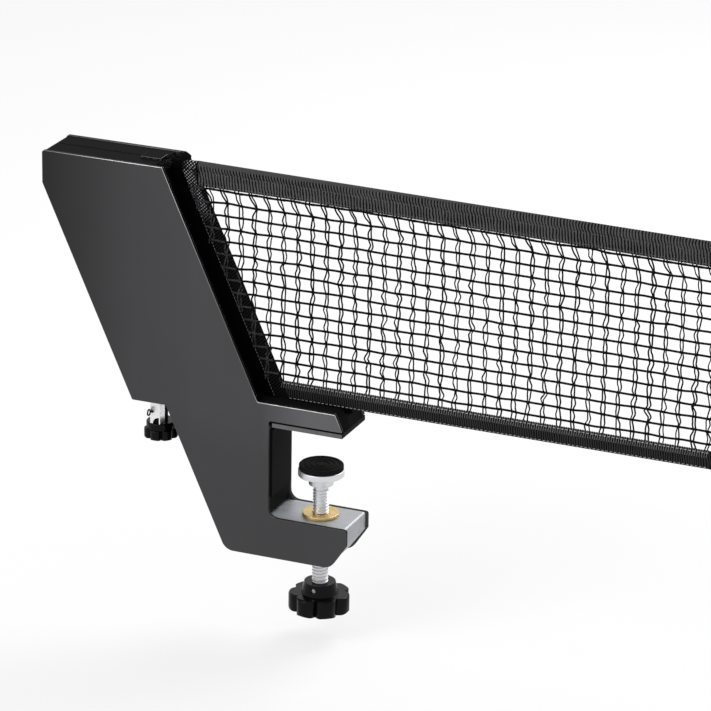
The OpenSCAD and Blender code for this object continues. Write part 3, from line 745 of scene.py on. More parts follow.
def swept(name: str, columns: int, rows: int, place: Callable[[float, float], Vector]) -> bpy.types.Object:
    """A closed skin: a grid bent round a section and along a length.

    Args:
        name: The piece's name.
        columns: Faces along the length.
        rows: Faces round the section.
        place: Gives a point for a share of the length and a share of the way round.

    Returns:
        The new object, its ends closed.
    """
    piece = added(name, bpy.ops.mesh.primitive_grid_add, x_subdivisions=columns, y_subdivisions=rows, size=2.0)
    for vertex in piece.data.vertices:
        vertex.co = place((vertex.co.x + 1) / 2, (vertex.co.y + 1) / 2)
    close_and_turn_out(piece)
    smooth(piece, 50.0)
    return piece


def lofted(
    name: str, columns: int, outline: Sequence[Sequence[float]], place: Callable[[float, int], Vector]
) -> bpy.types.Object:
    """A closed skin that keeps to an outline.

    Args:
        name: The piece's name.
        columns: Faces along the length.
        outline: Points of the section, of which the last repeats the first.
        place: Gives a point for a share of the length and the number of a point of the outline.

    Returns:
        The new object, its ends closed.
    """
    sides = len(outline) - 1
    return swept(name, columns, sides, lambda share, way: place(share, round(way * sides) % sides))


def strands(name: str, routes: Sequence[Route], radius: float, roundness: int = 1) -> bpy.types.Object:
    """Round threads along routes, as one mesh.

    Args:
        name: The piece's name.
        routes: For each thread its points, each with its thickness as a share of the radius.
        radius: The threads' radius.
        roundness: How finely the threads' section is divided.

    Returns:
        The new object.
    """
    curve = bpy.data.curves.new(name, "CURVE")
    curve.dimensions = "3D"
    curve.bevel_depth = radius
    curve.bevel_resolution = roundness
    curve.use_fill_caps = True
    for route in routes:
        spline = curve.splines.new("POLY")
        spline.points.add(len(route) - 1)
        for point, (place, thickness) in zip(spline.points, route):
            point.co = (*place, 1.0)
            point.radius = thickness
    piece = bpy.data.objects.new(name, curve)
    bpy.context.scene.collection.objects.link(piece)
    only(piece)
    bpy.ops.object.convert(target="MESH")
    close_and_turn_out(piece)
    smooth(piece, 60.0)
    return piece


def outlined(name: str, points: Sequence[Triple]) -> bpy.types.Object:
    """A new object whose mesh is a chain of edges through points."""
    piece = added(name, bpy.ops.mesh.primitive_plane_add, size=1.0)
    with editing(piece) as mesh:
        bmesh.ops.delete(mesh, geom=mesh.verts[:], context="VERTS")
        chain = [mesh.verts.new(point) for point in points]
        for first, second in zip(chain, chain[1:]):
            mesh.edges.new((first, second))
        bmesh.update_edit_mesh(piece.data)
    return piece


def turned(
    name: str, profile: Sequence[tuple[float, float]], axis: Vector, segments: int = 48
) -> bpy.types.Object:
    """A solid of revolution.

    Args:
        name: The piece's name.
        profile: Points of radius and height, from one end of the axis to the other.
        axis: A point on the upright axis.
        segments: Faces round the axis.

    Returns:
        The new object.
    """
    piece = outlined(name, [(axis.x + r, axis.y, z) for r, z in profile])
    with editing(piece):
        bpy.ops.mesh.select_all(action="SELECT")
        bpy.ops.mesh.spin(steps=segments, angle=math.tau, center=axis, axis=(0, 0, 1))
    close_and_turn_out(piece)
    smooth(piece)
    return piece


def folded_width(outline: Sequence[Sequence[float]]) -> float:
    """Width of the folded cloth that an outline goes round: half the way round it."""
    return sum(math.dist(a[:2], b[:2]) for a, b in zip(outline, outline[1:])) / 2


def dressed(
    piece: bpy.types.Object,
    finish: Finish,
    body: Body = Body.NET,
    nodes: Sequence[str] = (),
) -> bpy.types.Object:
    """Gives a finished piece its finish and its body, and hides the nodes that it stands for."""
    piece.data.materials.clear()
    piece.data.materials.append(finish.material())
    if nodes:
        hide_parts(*nodes)
    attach(piece, body.value)
    log.info("%s: %d faces on %s", piece.name, len(piece.data.polygons), body.value)
    return piece


# ---------------------------------------------------------------- rigid pieces


@dataclass(frozen=True)
class Softened:
    """A CAD piece that keeps its shape and gets its finish and soft edges."""

    WELD: ClassVar[float] = 0.002 * MM
    FLAT_DEG: ClassVar[float] = 0.5
    SHARP_DEG: ClassVar[float] = 32
    EDGE_SEGMENTS: ClassVar[int] = 2

    node: str
    finish: Finish
    edge: float = 0.3 * MM
    # The bevels' own finish: on the plates worn steel and painted highlights, on the mouldings painted
    # highlights.
    bevel_finish: Finish | None = None

    def build(self, nodes: dict[str, bpy.types.Object]) -> None:
        """Merges the node's loose triangles, rounds its edges and sets its materials."""
        piece = nodes[self.node]
        piece.data.materials.clear()
        piece.data.materials.append(self.finish.material())
        if self.bevel_finish:
            piece.data.materials.append(self.bevel_finish.material())
        weld = piece.modifiers.new("weld", "WELD")
        weld.merge_threshold = self.WELD
        flat = piece.modifiers.new("flat", "DECIMATE")
        flat.decimate_type = "DISSOLVE"
        flat.angle_limit = math.radians(self.FLAT_DEG)
        edges = piece.modifiers.new("edges", "BEVEL")
        edges.width = self.edge
        edges.segments = self.EDGE_SEGMENTS
        edges.limit_method = "ANGLE"
        edges.angle_limit = math.radians(self.SHARP_DEG)
        edges.harden_normals = True
        if self.bevel_finish:
            edges.material = 1
        log.info("%s: finish %s", self.node, self.finish.name)


@dataclass
class PostPieces:
    """The post, its foot and its clamp arm: every rigid piece that only needs its finish."""

    pieces: list[Softened] = field(default_factory=lambda: [
        Softened("front_plate", Finishes.plate, 0.22 * MM, Finishes.plate_edge),
        Softened("rear_plate", Finishes.plate, 0.22 * MM, Finishes.rear_edge),
        Softened("standoffs", Finishes.steel),
        Softened("plate_screws", Finishes.black_oxide, 0.15 * MM),
        Softened("frame_block", Finishes.moulding),
        Softened("foot_plate", Finishes.foot, 0.3 * MM),
        Softened("foot_screws", Finishes.steel, 0.15 * MM),
        Softened("foot_pad", Finishes.rubber, 0.2 * MM),
        Softened("edge_buffer", Finishes.rubber, 0.25 * MM),
        Softened("clamp_block", Finishes.alloy, 0.4 * MM),
        Softened("clamp_bush", Finishes.brass, 0.3 * MM),
        Softened("height_guide", Finishes.moulding, 0.3 * MM),
        Softened("height_bracket", Finishes.bracket_zinc_lit, 0.35 * MM),
        Softened("bracket_screw", Finishes.black_oxide, 0.15 * MM),
        Softened("core_front", Finishes.moulding, 0.25 * MM, Finishes.moulding_edge),
        Softened("core_rear", Finishes.moulding, 0.25 * MM, Finishes.moulding_edge),
        Softened("core_screws", Finishes.steel, 0.15 * MM),
        Softened("carrier_nut", Finishes.brass, 0.2 * MM),
        Softened("net_rod", Finishes.steel, 0.2 * MM),
        Softened("rod_plug", Finishes.knob, 0.2 * MM),
        Softened("cord_stop", Finishes.brass, 0.15 * MM),
        Softened("net_end_rod", Finishes.steel, 0.2 * MM),
        Softened("cord_lock", Finishes.moulding, 0.2 * MM, Finishes.lock_edge_highlight),
        Softened("stud_collar", Finishes.steel, 0.15 * MM),
        Softened("height_knob", Finishes.knob, 0.45 * MM),
        Softened("pad_cup", Finishes.zinc, 0.4 * MM),
        Softened("clamp_knob", Finishes.knob, 0.6 * MM),
        Softened("knob_pin", Finishes.steel, 0.2 * MM),
    ])

    def build(self, nodes: dict[str, bpy.types.Object]) -> None:
        """Dresses each piece."""
        for piece in self.pieces:
            piece.build(nodes)


@dataclass(frozen=True)
class Thread:
    """An upright screw thread, cut by winding one pitch of its outline up the axis."""

    name: str
    node: str
    pitch: float
    depth: float
    segments: int = 28

    def build(self, low: float, high: float) -> bpy.types.Object:
        """Models the thread between two heights on the node's axis.

        Args:
            low: The thread's lower end.
            high: Its upper end.

        Returns:
            The threaded bar.
        """
        x, y, _ = centre(self.node)
        crest = self.radius()
        root = crest - self.depth
        outline = [(root, 0.0), (root, 0.12), (crest, 0.42), (crest, 0.58), (root, 0.88), (root, 1.0)]
        piece = outlined(self.name, [(r, 0.0, share * self.pitch) for r, share in outline])
        winding = piece.modifiers.new("winding", "SCREW")
        winding.axis = "Z"
        winding.angle = math.tau
        winding.screw_offset = self.pitch
        winding.iterations = int((high - low) / self.pitch) - 1
        winding.steps = self.segments
        winding.render_steps = self.segments
        winding.use_merge_vertices = True
        winding.merge_threshold = 0.001 * MM
        apply_modifiers(piece)
        piece.location = (x, y, low)
        settle(piece)
        close_and_turn_out(piece)
        smooth(piece, 45.0)
        return piece

    def radius(self) -> float:
        """The thread's outer radius, as wide as the node."""
        bottom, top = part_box(self.node)
        return (top.x - bottom.x) / 2


@dataclass
class ClampScrew:
    """The clamp's threaded spindle and its rubber-faced pad."""

    pitch: float = 2 * MM
    depth: float = 0.75 * MM
    neck_r: float = 3.5 * MM
    head_r: float = 4.4 * MM
    ring_w: float = 1.1 * MM
    ring_depth: float = 0.5 * MM
    ring_shares: tuple[float, ...] = (0.78, 0.54, 0.30)

    def build(self) -> None:
        """Models the spindle with its neck and the pad's ribbed rubber."""
        low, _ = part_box("clamp_spindle")
        cup_low, cup_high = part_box("pad_cup")
        hub_low, cup_top = cup_low.z, cup_high.z
        axis = Vector((centre("clamp_spindle")[0], 0.0, 0.0))
        thread = Thread("spindle_thread", "clamp_spindle", self.pitch, self.depth)
        bar = thread.build(low.z + 8 * MM, hub_low - 0.4 * MM)
        root = thread.radius() - self.depth
        shank = turned("spindle_shank", [
            (0.0, low.z), (root, low.z), (root, hub_low - 2.2 * MM),
            (thread.radius(), hub_low - 1.6 * MM), (thread.radius(), hub_low - 0.3 * MM),
            (self.neck_r, hub_low - 0.25 * MM), (self.neck_r, cup_top - 1.9 * MM),
            (self.head_r, cup_top - 1.9 * MM), (self.head_r, cup_top - 0.35 * MM),
            (0.0, cup_top - 0.3 * MM)], axis)
        join(bar, shank)
        dressed(bar, Finishes.zinc, Body.SCREW, ["clamp_spindle"])
        self.pad(axis)

    def pad(self, axis: Vector) -> None:
        """The rubber face, with three moulded rings."""
        low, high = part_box("pad_rubber")
        radius = (high.x - low.x) / 2
        ring, sink = self.ring_w, self.ring_depth
        face = [(0.0, low.z), (radius - 0.4 * MM, low.z), (radius, low.z + 0.4 * MM),
                (radius, high.z - 0.5 * MM), (radius - 0.5 * MM, high.z)]
        for share in self.ring_shares:
            middle = radius * share
            face += [(middle + ring, high.z), (middle + ring * 0.5, high.z - sink),
                     (middle - ring * 0.5, high.z - sink), (middle - ring, high.z)]
        dressed(turned("pad_face", [*face, (0.0, high.z)], axis, 64), Finishes.rubber,
                Body.PAD, ["pad_rubber"])


@dataclass
class HeightScrew:
    """The fine stud that raises and lowers the net."""

    pitch: float = 0.7 * MM
    depth: float = 0.4 * MM

    def build(self) -> None:
        """Threads the stud over its whole length."""
        low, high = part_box("height_stud")
        thread = Thread("stud_thread", "height_stud", self.pitch, self.depth, 16)
        bar = thread.build(low.z, high.z)
        dressed(bar, Finishes.steel, Body.HEIGHT, ["height_stud"])


# ---------------------------------------------------------------- the net


@dataclass
class NetLayout:
    """Where the net's parts lie, read from the frame."""

    lean: float = math.radians(24.5)
    side_tape_w: float = 13.1 * MM
    mesh_start: float = 3.3 * MM
    cloth_start: float = -72 * MM
    level_x: float = 95 * MM
    droop_x: float = 15 * MM
    top_fall: float = 0.0099
    band_fall: float = 0.0115

    def __post_init__(self) -> None:
        """Takes the heights and ends from the frame's nodes."""
        lower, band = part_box("net_lower_tape"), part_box("net_top_band")
        self.run = math.tan(self.lean)
        self.low, self.hem_top = lower[0].z, lower[1].z
        self.hem_left = lower[0].x
        self.band_low, self.top = band[0].z, band[1].z
        self.band_start, self.end = band[0].x, band[1].x
        self.hem_r = (band[1].y - band[0].y) / 2
        self.cord_z = self.top - self.hem_r
        self.sewn_end = self.end - 1 * MM

    def edge_x(self, z: float, past: float = 0.0) -> float:
        """X of the plates' slanted inner edge at a height, or of a line past it."""
        return self.hem_left - self.side_tape_w + (self.hem_top - z) * self.run + past

    def edge_z(self, x: float, past: float) -> float:
        """Height at which a line past the slanted edge reaches x."""
        return self.hem_top - (x - past - self.hem_left + self.side_tape_w) / self.run

    def sag(self, place: Vector) -> float:
        """How far the net hangs below level: its top runs down from the post, and its band droops more."""
        start = unit((place.x - self.cloth_start) / (self.band_start - self.cloth_start))
        at_top = (self.top_fall * (place.x - self.level_x)) * start * start * (3 - 2 * start)
        at_band = self.band_fall * max(0.0, place.x - self.droop_x)
        if place.z > self.band_low:
            share = unit((place.z - self.band_low) / (self.top - self.band_low))
            return at_band * (1 - share) + at_top * share
        return at_band * max(0.0, place.z - self.hem_top) / (self.band_low - self.hem_top)


class Wander:
    """Smooth random waves with a fixed seed."""

    def __init__(self, seed: int, step: float, spread: float, kinked: bool = False) -> None:
        """Waves that change over a step and stay within about a spread; kinked ones turn sharply."""
        self.random = random.Random(seed)
        self.step = step
        self.spread = spread
        self.kinked = kinked
        self.knots: dict[int, float] = {}

    @classmethod
    def family(cls, seed: int, count: int, step: float, spread: float) -> list[Wander]:
        """Waves of one kind, with a seed each that counts up from the first."""
        return [cls(seed + i, step, spread) for i in range(count)]

    def knot(self, number: int) -> float:
        """The wave's value at one of its steps."""
        while number not in self.knots:
            self.knots[len(self.knots)] = self.random.gauss(0.0, self.spread)
        return self.knots[number]

    def at(self, distance: float) -> float:
        """The wave at a distance from its start."""
        place = max(0.0, distance / self.step)
        number = int(place)
        share = place - number
        if not self.kinked:
            share = (1 - math.cos(share * math.pi)) / 2
        return self.knot(number) * (1 - share) + self.knot(number + 1) * share


@dataclass
class NetField:
    """The open net: stout cross cords, and pairs of slack upright threads tied to them."""

    WEFT_SEED: ClassVar[int] = 100
    PAIR_SEED: ClassVar[int] = 300
    GAP_SEED: ClassVar[int] = 500
    THREAD_SEED: ClassVar[int] = 700

    layout: NetLayout
    cell_w: float = 9.2 * MM
    cell_h: float = 7.79 * MM
    weft_r: float = 0.68 * MM
    warp_r: float = 0.5 * MM
    first_drop: float = 1.2 * MM
    last_pair: float = 3 * MM
    pair_gap: float = 1.35 * MM
    top_slant: float = 3.3 * MM
    step: float = 1.2 * MM
    over_tape: float = 1.15 * MM
    over_end: float = 2 * MM
    ease: float = 2.5 * MM
    tuck: float = 1.5 * MM
    shortest: float = 2 * MM
    knot_swell: float = 0.3

    def rows(self) -> list[float]:
        """Heights of the cross cords, from the top."""
        first = self.layout.band_low - self.first_drop
        count = int((first - self.layout.hem_top) / self.cell_h) + 1
        return [first - i * self.cell_h for i in range(count)]

    def columns(self) -> list[float]:
        """X of the upright pairs, from the far end."""
        left = self.layout.edge_x(self.layout.band_low, self.layout.mesh_start)
        count = int((self.layout.end - left) / self.cell_w)
        return [self.layout.end - self.last_pair - i * self.cell_w for i in range(count + 1)]

    def depth(self, x: float, z: float) -> float:
        """Y of the net: in front of the side tape, then on the net line."""
        past = x - self.layout.edge_x(z)
        share = unit((past - self.layout.side_tape_w) / self.ease)
        return -self.over_tape * (1 - share)

    def weft(self, z: float, wander: Wander) -> Route:
        """One cross cord, thicker at each knot."""
        left = self.layout.edge_x(z, self.layout.mesh_start)
        count = int((self.layout.end + self.over_end - left) / self.step)
        route = []
        for i in range(count + 1):
            x = left + i * self.step
            knot = abs((self.layout.end - self.last_pair - x) / self.cell_w % 1 - 0.5) * 2
            place = Vector((x, self.depth(x, z), z + wander.at(x - left)))
            route.append((place, 1.0 + self.knot_swell * max(0.0, knot - 0.75) * 4))
        return route

    def warp(self, x: float, side: int, paths: tuple[Wander, Wander, Wander]) -> Route:
        """One thread of an upright pair.

        Args:
            x: The pair's middle.
            side: -1 or 1, for the left or the right thread.
            paths: Waves of the pair's middle, of its gap and of this thread.

        Returns:
            The thread's route, down to the lower tape or onto the side tape.
        """
        middle, gap, own = paths
        lay = self.layout
        bottom = max(lay.hem_top - self.tuck, lay.edge_z(x, lay.mesh_start))
        top = lay.band_low + self.tuck
        first = self.rows()[0]
        route = []
        for i in range(int((top - bottom) / self.step) + 1):
            z = top - i * self.step
            down = top - z
            rise = unit((z - first + self.cell_h) / self.cell_h)
            shift = -self.top_slant * rise
            phase = ((first - z) / self.cell_h) * math.tau
            half = self.pair_gap / 2 * (1.1 - 0.22 * math.cos(phase)) + abs(gap.at(down))
            place_x = x + shift + middle.at(down) + side * half + own.at(down)
            weave = side * self.weft_r * 0.9 * math.cos(phase / 2)
            route.append((Vector((place_x, self.depth(place_x, z) + weave, z)), 1.0))
        return route

    def build(self) -> None:
        """Models all the cords and threads as one piece."""
        lay = self.layout
        rows = self.rows()
        waves = Wander.family(self.WEFT_SEED, len(rows), 11 * MM, 0.22 * MM)
        wefts = [self.weft(z, wave) for z, wave in zip(rows, waves)]
        field_piece = strands("net_field", wefts, self.weft_r)
        warps = []
        for i, x in enumerate(self.columns()):
            if lay.edge_z(x, lay.mesh_start) > lay.band_low - self.shortest:
                continue
            middle = Wander(self.PAIR_SEED + i, self.cell_h * 0.48, 0.5 * MM, True)
            gap = Wander(self.GAP_SEED + i, self.cell_h * 1.2, 0.2 * MM)
            for side in (-1, 1):
                own = Wander(self.THREAD_SEED + 2 * i + side, self.cell_h * 0.4, 0.2 * MM, True)
                warps.append(self.warp(x, side, (middle, gap, own)))
        join(field_piece, strands("net_threads", warps, self.warp_r, 0))
        dressed(field_piece, self.finish(), Body.NET, ["net_mesh"])
        length = lay.end - lay.edge_x(lay.hem_top, lay.mesh_start)
        self.cut_area(wefts, warps)

    def cut_area(self, wefts: Sequence[Route], warps: Sequence[Route]) -> float:
        """Half the surface of all the threads, each laid straight between its two ends."""
        weft, warp = (sum((way[-1][0] - way[0][0]).length for way in routes) for routes in (wefts, warps))
        return math.pi * (self.weft_r * weft + self.warp_r * warp)

    def finish(self) -> TwistedThread:
        """The net's black thread, with painted highlights where it is sewn over the side tape."""
        lay = self.layout
        edge = lay.edge_x(0.0, lay.side_tape_w) / MM
        return TwistedThread("net_thread", (0.0034, 0.0034, 0.0038), 0.55, 0.0, 0.4, 1.15,
                             lean_run=lay.run, tape_edge=edge, glint_gain=24.0)


@dataclass
class TopBand:
    """The folded webbing along the net's top, over the cord, with its two rows of stitching."""

    WAVE_SEED: ClassVar[int] = 40
    SLACK_SEED: ClassVar[int] = 77

    layout: NetLayout
    pitch: float = 1.9 * MM
    rib: float = 0.18 * MM
    half_t: float = 0.95 * MM
    stitch_drop: float = 6.1 * MM
    stitch_rise: float = 1.5 * MM

    def section(self) -> list[tuple[float, float]]:
        """Half the band's section: depth and height, from its lower edge to the top of the hem."""
        lay = self.layout
        radius = lay.hem_r - 0.15 * MM
        flat = [(0.0, lay.band_low), (self.half_t * 0.8, lay.band_low + 0.1 * MM)]
        rise = lay.cord_z - 3.2 * MM - lay.band_low
        flat += [(self.half_t, lay.band_low + 0.6 * MM + i / 6 * (rise - 0.6 * MM)) for i in range(7)]
        start = math.radians(-42)
        hem = [start + i / 8 * (math.pi / 2 - start) for i in range(9)]
        return flat + [(radius * math.cos(a), lay.cord_z + radius * math.sin(a)) for a in hem]

    def build(self) -> None:
        """Models the band with its ribs and its stitching."""
        lay = self.layout
        half = self.section()
        loop = [(-y, z) for y, z in half] + half[-2:0:-1]
        loop.append(loop[0])
        length = lay.end - lay.band_start
        wander = Wander.family(self.WAVE_SEED, len(loop) - 1, 9 * MM, 0.5 * MM)
        slack = Wander(self.SLACK_SEED, 60 * MM, 0.25 * MM)

        def place(share: float, number: int) -> Vector:
            y, z = loop[number]
            x = lay.band_start + share * length
            below = unit((lay.top - 0.4 * MM - z) / (2 * MM))
            edge = unit((z - lay.band_low) / (1.2 * MM))
            wave = wander[number].at(share * length) + slack.at(share * length) * 2
            ribs = math.cos((x + wave) / self.pitch * math.tau) * self.rib * below * edge
            side = 0 if abs(y) < 0.01 * MM else math.copysign(1.0, y)
            return Vector((x, y + side * ribs, z))

        band = lofted("top_band", int(length / (self.pitch / 4)), loop, place)
        rows = [
            StitchRow("band_lower_stitches", lay.band_low + self.stitch_rise, self.half_t),
            StitchRow("band_upper_stitches", lay.top - self.stitch_drop, self.half_t),
        ]
        seams = [row.build(lay.band_start + 2 * MM, lay.sewn_end) for row in rows]
        dressed(band, self.finish(), Body.NET, ["net_top_band"])
        folded_width(loop)

    def finish(self) -> RibbedWebbing:
        """The band's webbing: ribs below the rolled top, and a dark seam where it meets the side tape."""
        lay = self.layout
        return RibbedWebbing("ribbed_webbing", (0.038, 0.038, 0.038), 0.85, 0.0, 0.2, 1.1, self.pitch / MM,
                             lay.top / MM - 0.9, lay.band_start / MM)


@dataclass
class StitchRow:
    """A row of lockstitches on both faces of a tape: level, or beside the lean."""

    name: str
    height: float
    half_t: float
    length: float = 1.9 * MM
    pitch: float = 2.7 * MM
    radius: float = 0.2 * MM
    finish: Finish = Finishes.stitch

    def build(self, start: float, end: float) -> bpy.types.Object:
        """Models the row level, between two places along X."""
        count = int((end - start) / self.pitch)
        return self.sewn(start + self.length / 2, math.pi / 2, (self.pitch, 0.0, 0.0), count)

    def climb(self, start: float, end: float, lean: float) -> bpy.types.Object:
        """Models the row on a lean, upwards from one place along X to another."""
        rise = self.pitch * math.cos(lean)
        run = math.tan(lean)
        return self.sewn(start, -lean, (-rise * run, 0.0, rise), int((start - end) / run / rise))

    def sewn(self, start: float, turn: float, step: Triple, count: int) -> bpy.types.Object:
        """Models one stitch and repeats it.

        Args:
            start: X of the first stitch's middle.
            turn: The stitch's turn round Y, from upright.
            step: From each stitch to the next.
            count: How many there are on each face.

        Returns:
            The row.
        """
        piece = added(self.name, bpy.ops.mesh.primitive_uv_sphere_add, segments=6, ring_count=5, radius=1.0)
        piece.rotation_euler = (0.0, turn, 0.0)
        piece.scale = (self.radius, self.radius, self.length / 2)
        piece.location = (start, -self.half_t, self.height)
        settle(piece)
        repeated(piece, step, count, both_faces=True)
        smooth(piece, 80.0)
        return dressed(piece, self.finish)


@dataclass
class SideTape:
    """The tape at the net's slanted side: a sleeve round the rod, and a flat run to the mesh."""

    COLUMNS: ClassVar[int] = 110
    PUCKER_SEED: ClassVar[int] = 900
    # Each point of the sleeve has a wave of its own, numbered from 0. The flat run shares these two.
    FLAT_WAVE: ClassVar[int] = 30
    EDGE_WAVE: ClassVar[int] = 31

    layout: NetLayout
    half_t: float = 0.85 * MM

    def build(self) -> None:
        """Models the tape and its seam."""
        lay = self.layout
        rod_x, _, rod_z = centre("net_rod")
        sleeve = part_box("net_side_tape")
        radius = (sleeve[1].y - sleeve[0].y) / 2 - 0.1 * MM
        reach = radius / math.cos(lay.lean)
        back = lay.edge_x(rod_z) - rod_x
        sleeve_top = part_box("net_rod")[1].z - 1.2 * MM
        edge = lay.side_tape_w
        meet = math.asin(self.half_t / radius)
        round_it = [meet + i / 20 * (math.tau - 2 * meet) for i in range(21)]
        start = -back + reach * math.cos(meet)
        flat = [(start + (edge + back - reach) * i / 10, self.half_t) for i in range(1, 10)]
        rim = [(edge - 0.3 * MM, -self.half_t), (edge, -0.4 * MM), (edge, 0.4 * MM),
               (edge - 0.3 * MM, self.half_t)]
        loop = [(-back + reach * math.cos(a), radius * math.sin(a), i) for i, a in enumerate(round_it)]
        loop += [(past, -y, self.FLAT_WAVE) for past, y in flat]
        loop += [(past, y, self.EDGE_WAVE) for past, y in rim]
        loop += [(past, y, self.FLAT_WAVE) for past, y in reversed(flat)]
        loop.append(loop[0])
        pucker = Wander.family(self.PUCKER_SEED, self.EDGE_WAVE + 1, 7 * MM, 0.12 * MM)

        def place(share: float, number: int) -> Vector:
            past, y, wave = loop[number]
            top = sleeve_top if past < -back + reach * 0.5 else lay.cord_z + 1.2 * MM
            z = lay.low + share * (top - lay.low)
            puff = 1 + pucker[wave].at(z - lay.low) / radius
            x = lay.edge_x(z, past)
            if z > lay.band_low:
                x = min(x, lay.band_start + 0.2 * MM + past * 0.001)
            return Vector((x, y * puff, z))

        tape = lofted("side_tape", self.COLUMNS, loop, place)
        seam = StitchRow("side_seam", lay.low + 1.5 * MM, self.half_t, 1.7 * MM, 2.1 * MM, 0.2 * MM,
                         Finishes.loop)
        start_x = lay.edge_x(seam.height, lay.mesh_start)
        end_x = lay.edge_x(lay.band_low - 1 * MM, lay.mesh_start)
        seam_piece = seam.climb(start_x, end_x, lay.lean)
        dressed(tape, self.finish(), Body.NET, ["net_side_tape"])
        folded_width(loop) * math.cos(lay.lean)

    def finish(self) -> TwillTape:
        """The tape's twill, painted near black as shade as far as the seam, with painted highlights in a band
        past it towards the top.
        """
        lay = self.layout
        fold = lay.edge_x(0.0, lay.mesh_start) / MM
        low = (lay.band_low - 16 * MM) / MM
        return TwillTape("side_twill", (0.0105, 0.0105, 0.011), 0.85, 0.0, 0.2, 1.1, 2.3, lay.run, fold, 6.4,
                         low, pleats_from=(lay.band_low - 1 * MM) / MM)


@dataclass
class LowerTape:
    """The knitted tape along the net's lower edge: upright ribs and looped edges."""

    RIPPLE_SEED: ClassVar[int] = 60
    # Height and thickness of the tape's section, each as a share.
    SECTION: ClassVar[tuple[tuple[float, float], ...]] = (
        (0.0, 0.45), (0.06, 0.9), (0.2, 1.0), (0.4, 1.0), (0.6, 1.0), (0.8, 1.0), (0.94, 0.9), (1.0, 0.45),
    )

    layout: NetLayout
    half_t: float = 0.7 * MM
    pitch: float = 1.45 * MM
    rib: float = 0.1 * MM
    loop_r: float = 0.16 * MM

    def build(self) -> None:
        """Models the tape and the loops over its upper edge."""
        lay = self.layout
        length = lay.end - lay.hem_left
        height = lay.hem_top - lay.low
        loop = [(-t, s) for s, t in self.SECTION] + [(t, s) for s, t in reversed(self.SECTION)]
        loop.append(loop[0])
        ripple = Wander.family(self.RIPPLE_SEED, len(loop), 8 * MM, 0.35 * MM)

        def place(share: float, number: int) -> Vector:
            depth, level = loop[number]
            z = lay.low + level * height
            left = lay.edge_x(z, lay.side_tape_w - 1 * MM)
            x = left + share * (lay.end - left)
            wave = ripple[number].at(share * length)
            ribs = math.cos((x + wave) / self.pitch * math.tau) * self.rib
            return Vector((x, depth * self.half_t + math.copysign(ribs, depth), z))

        tape = lofted("lower_tape", int(length / (self.pitch / 4)), loop, place)
        loops = self.edge_loops()
        rows = [
            StitchRow("tape_upper_stitches", lay.hem_top - 1.0 * MM, 0.95 * MM, 1.7 * MM, 2.6 * MM, 0.26 * MM,
                      Finishes.hem),
            StitchRow("tape_lower_stitches", lay.low + 0.9 * MM, 0.8 * MM, 1.7 * MM, 2.6 * MM, 0.2 * MM,
                      Finishes.hem),
        ]
        starts = [lay.edge_x(row.height, lay.side_tape_w) for row in rows]
        seams = [row.build(start, lay.sewn_end) for row, start in zip(rows, starts)]
        dressed(tape, self.finish(), Body.NET, ["net_lower_tape"])

    def finish(self) -> RibbedWebbing:
        """The tape's knit, darker than the top band's."""
        return RibbedWebbing("knitted_tape", (0.008, 0.008, 0.0085), 0.8, 0.0, 0.2, 1.1, self.pitch / MM,
                             light=6.0)

    def edge_loops(self) -> bpy.types.Object:
        """Overlock loops: one thread over the edge, repeated along it."""
        lay = self.layout
        reach, out = 4.4 * MM, self.half_t + 0.12 * MM
        top = lay.hem_top + 0.25 * MM
        shape = [(-0.5, -out, -reach), (-0.25, -out, -reach * 0.5), (0.0, -out, -0.8 * MM),
                 (0.1, -out * 0.5, 0.0), (0.2, out * 0.5, 0.0), (0.3, out, -0.8 * MM), (0.5, out, -reach)]
        start = lay.edge_x(lay.hem_top, lay.side_tape_w)
        route = [(Vector((start + u * self.pitch, y, top + z)), 1.0) for u, y, z in shape]
        piece = strands("lower_tape_loops", [route], self.loop_r, 0)
        repeated(piece, (self.pitch, 0.0, 0.0), int((lay.end - start) / self.pitch))
        return dressed(piece, Finishes.loop)


@dataclass
class EndTape:
    """The taped hem that ends the net, with its own rod inside."""

    COLUMNS: ClassVar[int] = 90
    PUCKER_SEED: ClassVar[int] = 1200

    layout: NetLayout
    half_t: float = 1.0 * MM

    def build(self) -> None:
        """Models the hem round its rod."""
        lay = self.layout
        rod_low, rod_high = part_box("net_end_rod")
        rod_x = centre("net_end_rod")[0]
        radius = (rod_high.x - rod_low.x) / 2 + 1.0 * MM
        meet = math.asin(self.half_t / radius)
        turns = [-math.pi + meet + i / 18 * (math.tau - 2 * meet) for i in range(19)]
        start = lay.end - 0.5 * MM
        reach = rod_x - radius * math.cos(meet) - start
        flat = [start + reach * i / 6 for i in range(6)]
        loop = [(x, -self.half_t) for x in flat]
        loop += [(rod_x + radius * math.cos(a), radius * math.sin(a)) for a in turns]
        loop += [(x, self.half_t) for x in reversed(flat)]
        loop.append(loop[0])
        pucker = Wander.family(self.PUCKER_SEED, len(loop), 8 * MM, 0.1 * MM)
        top = lay.cord_z + lay.hem_r * 0.8

        def place(share: float, number: int) -> Vector:
            x, y = loop[number]
            z = lay.low + share * (top - lay.low)
            return Vector((x, y * (1 + pucker[number].at(z - lay.low) / radius), z))

        tape = lofted("end_tape", self.COLUMNS, loop, place)
        finish = TwillTape("end_twill", (0.007, 0.007, 0.0075), 0.85, 0.0, 0.2, 1.2)
        dressed(tape, finish, Body.NET, ["net_end_tape"])
        folded_width(loop)


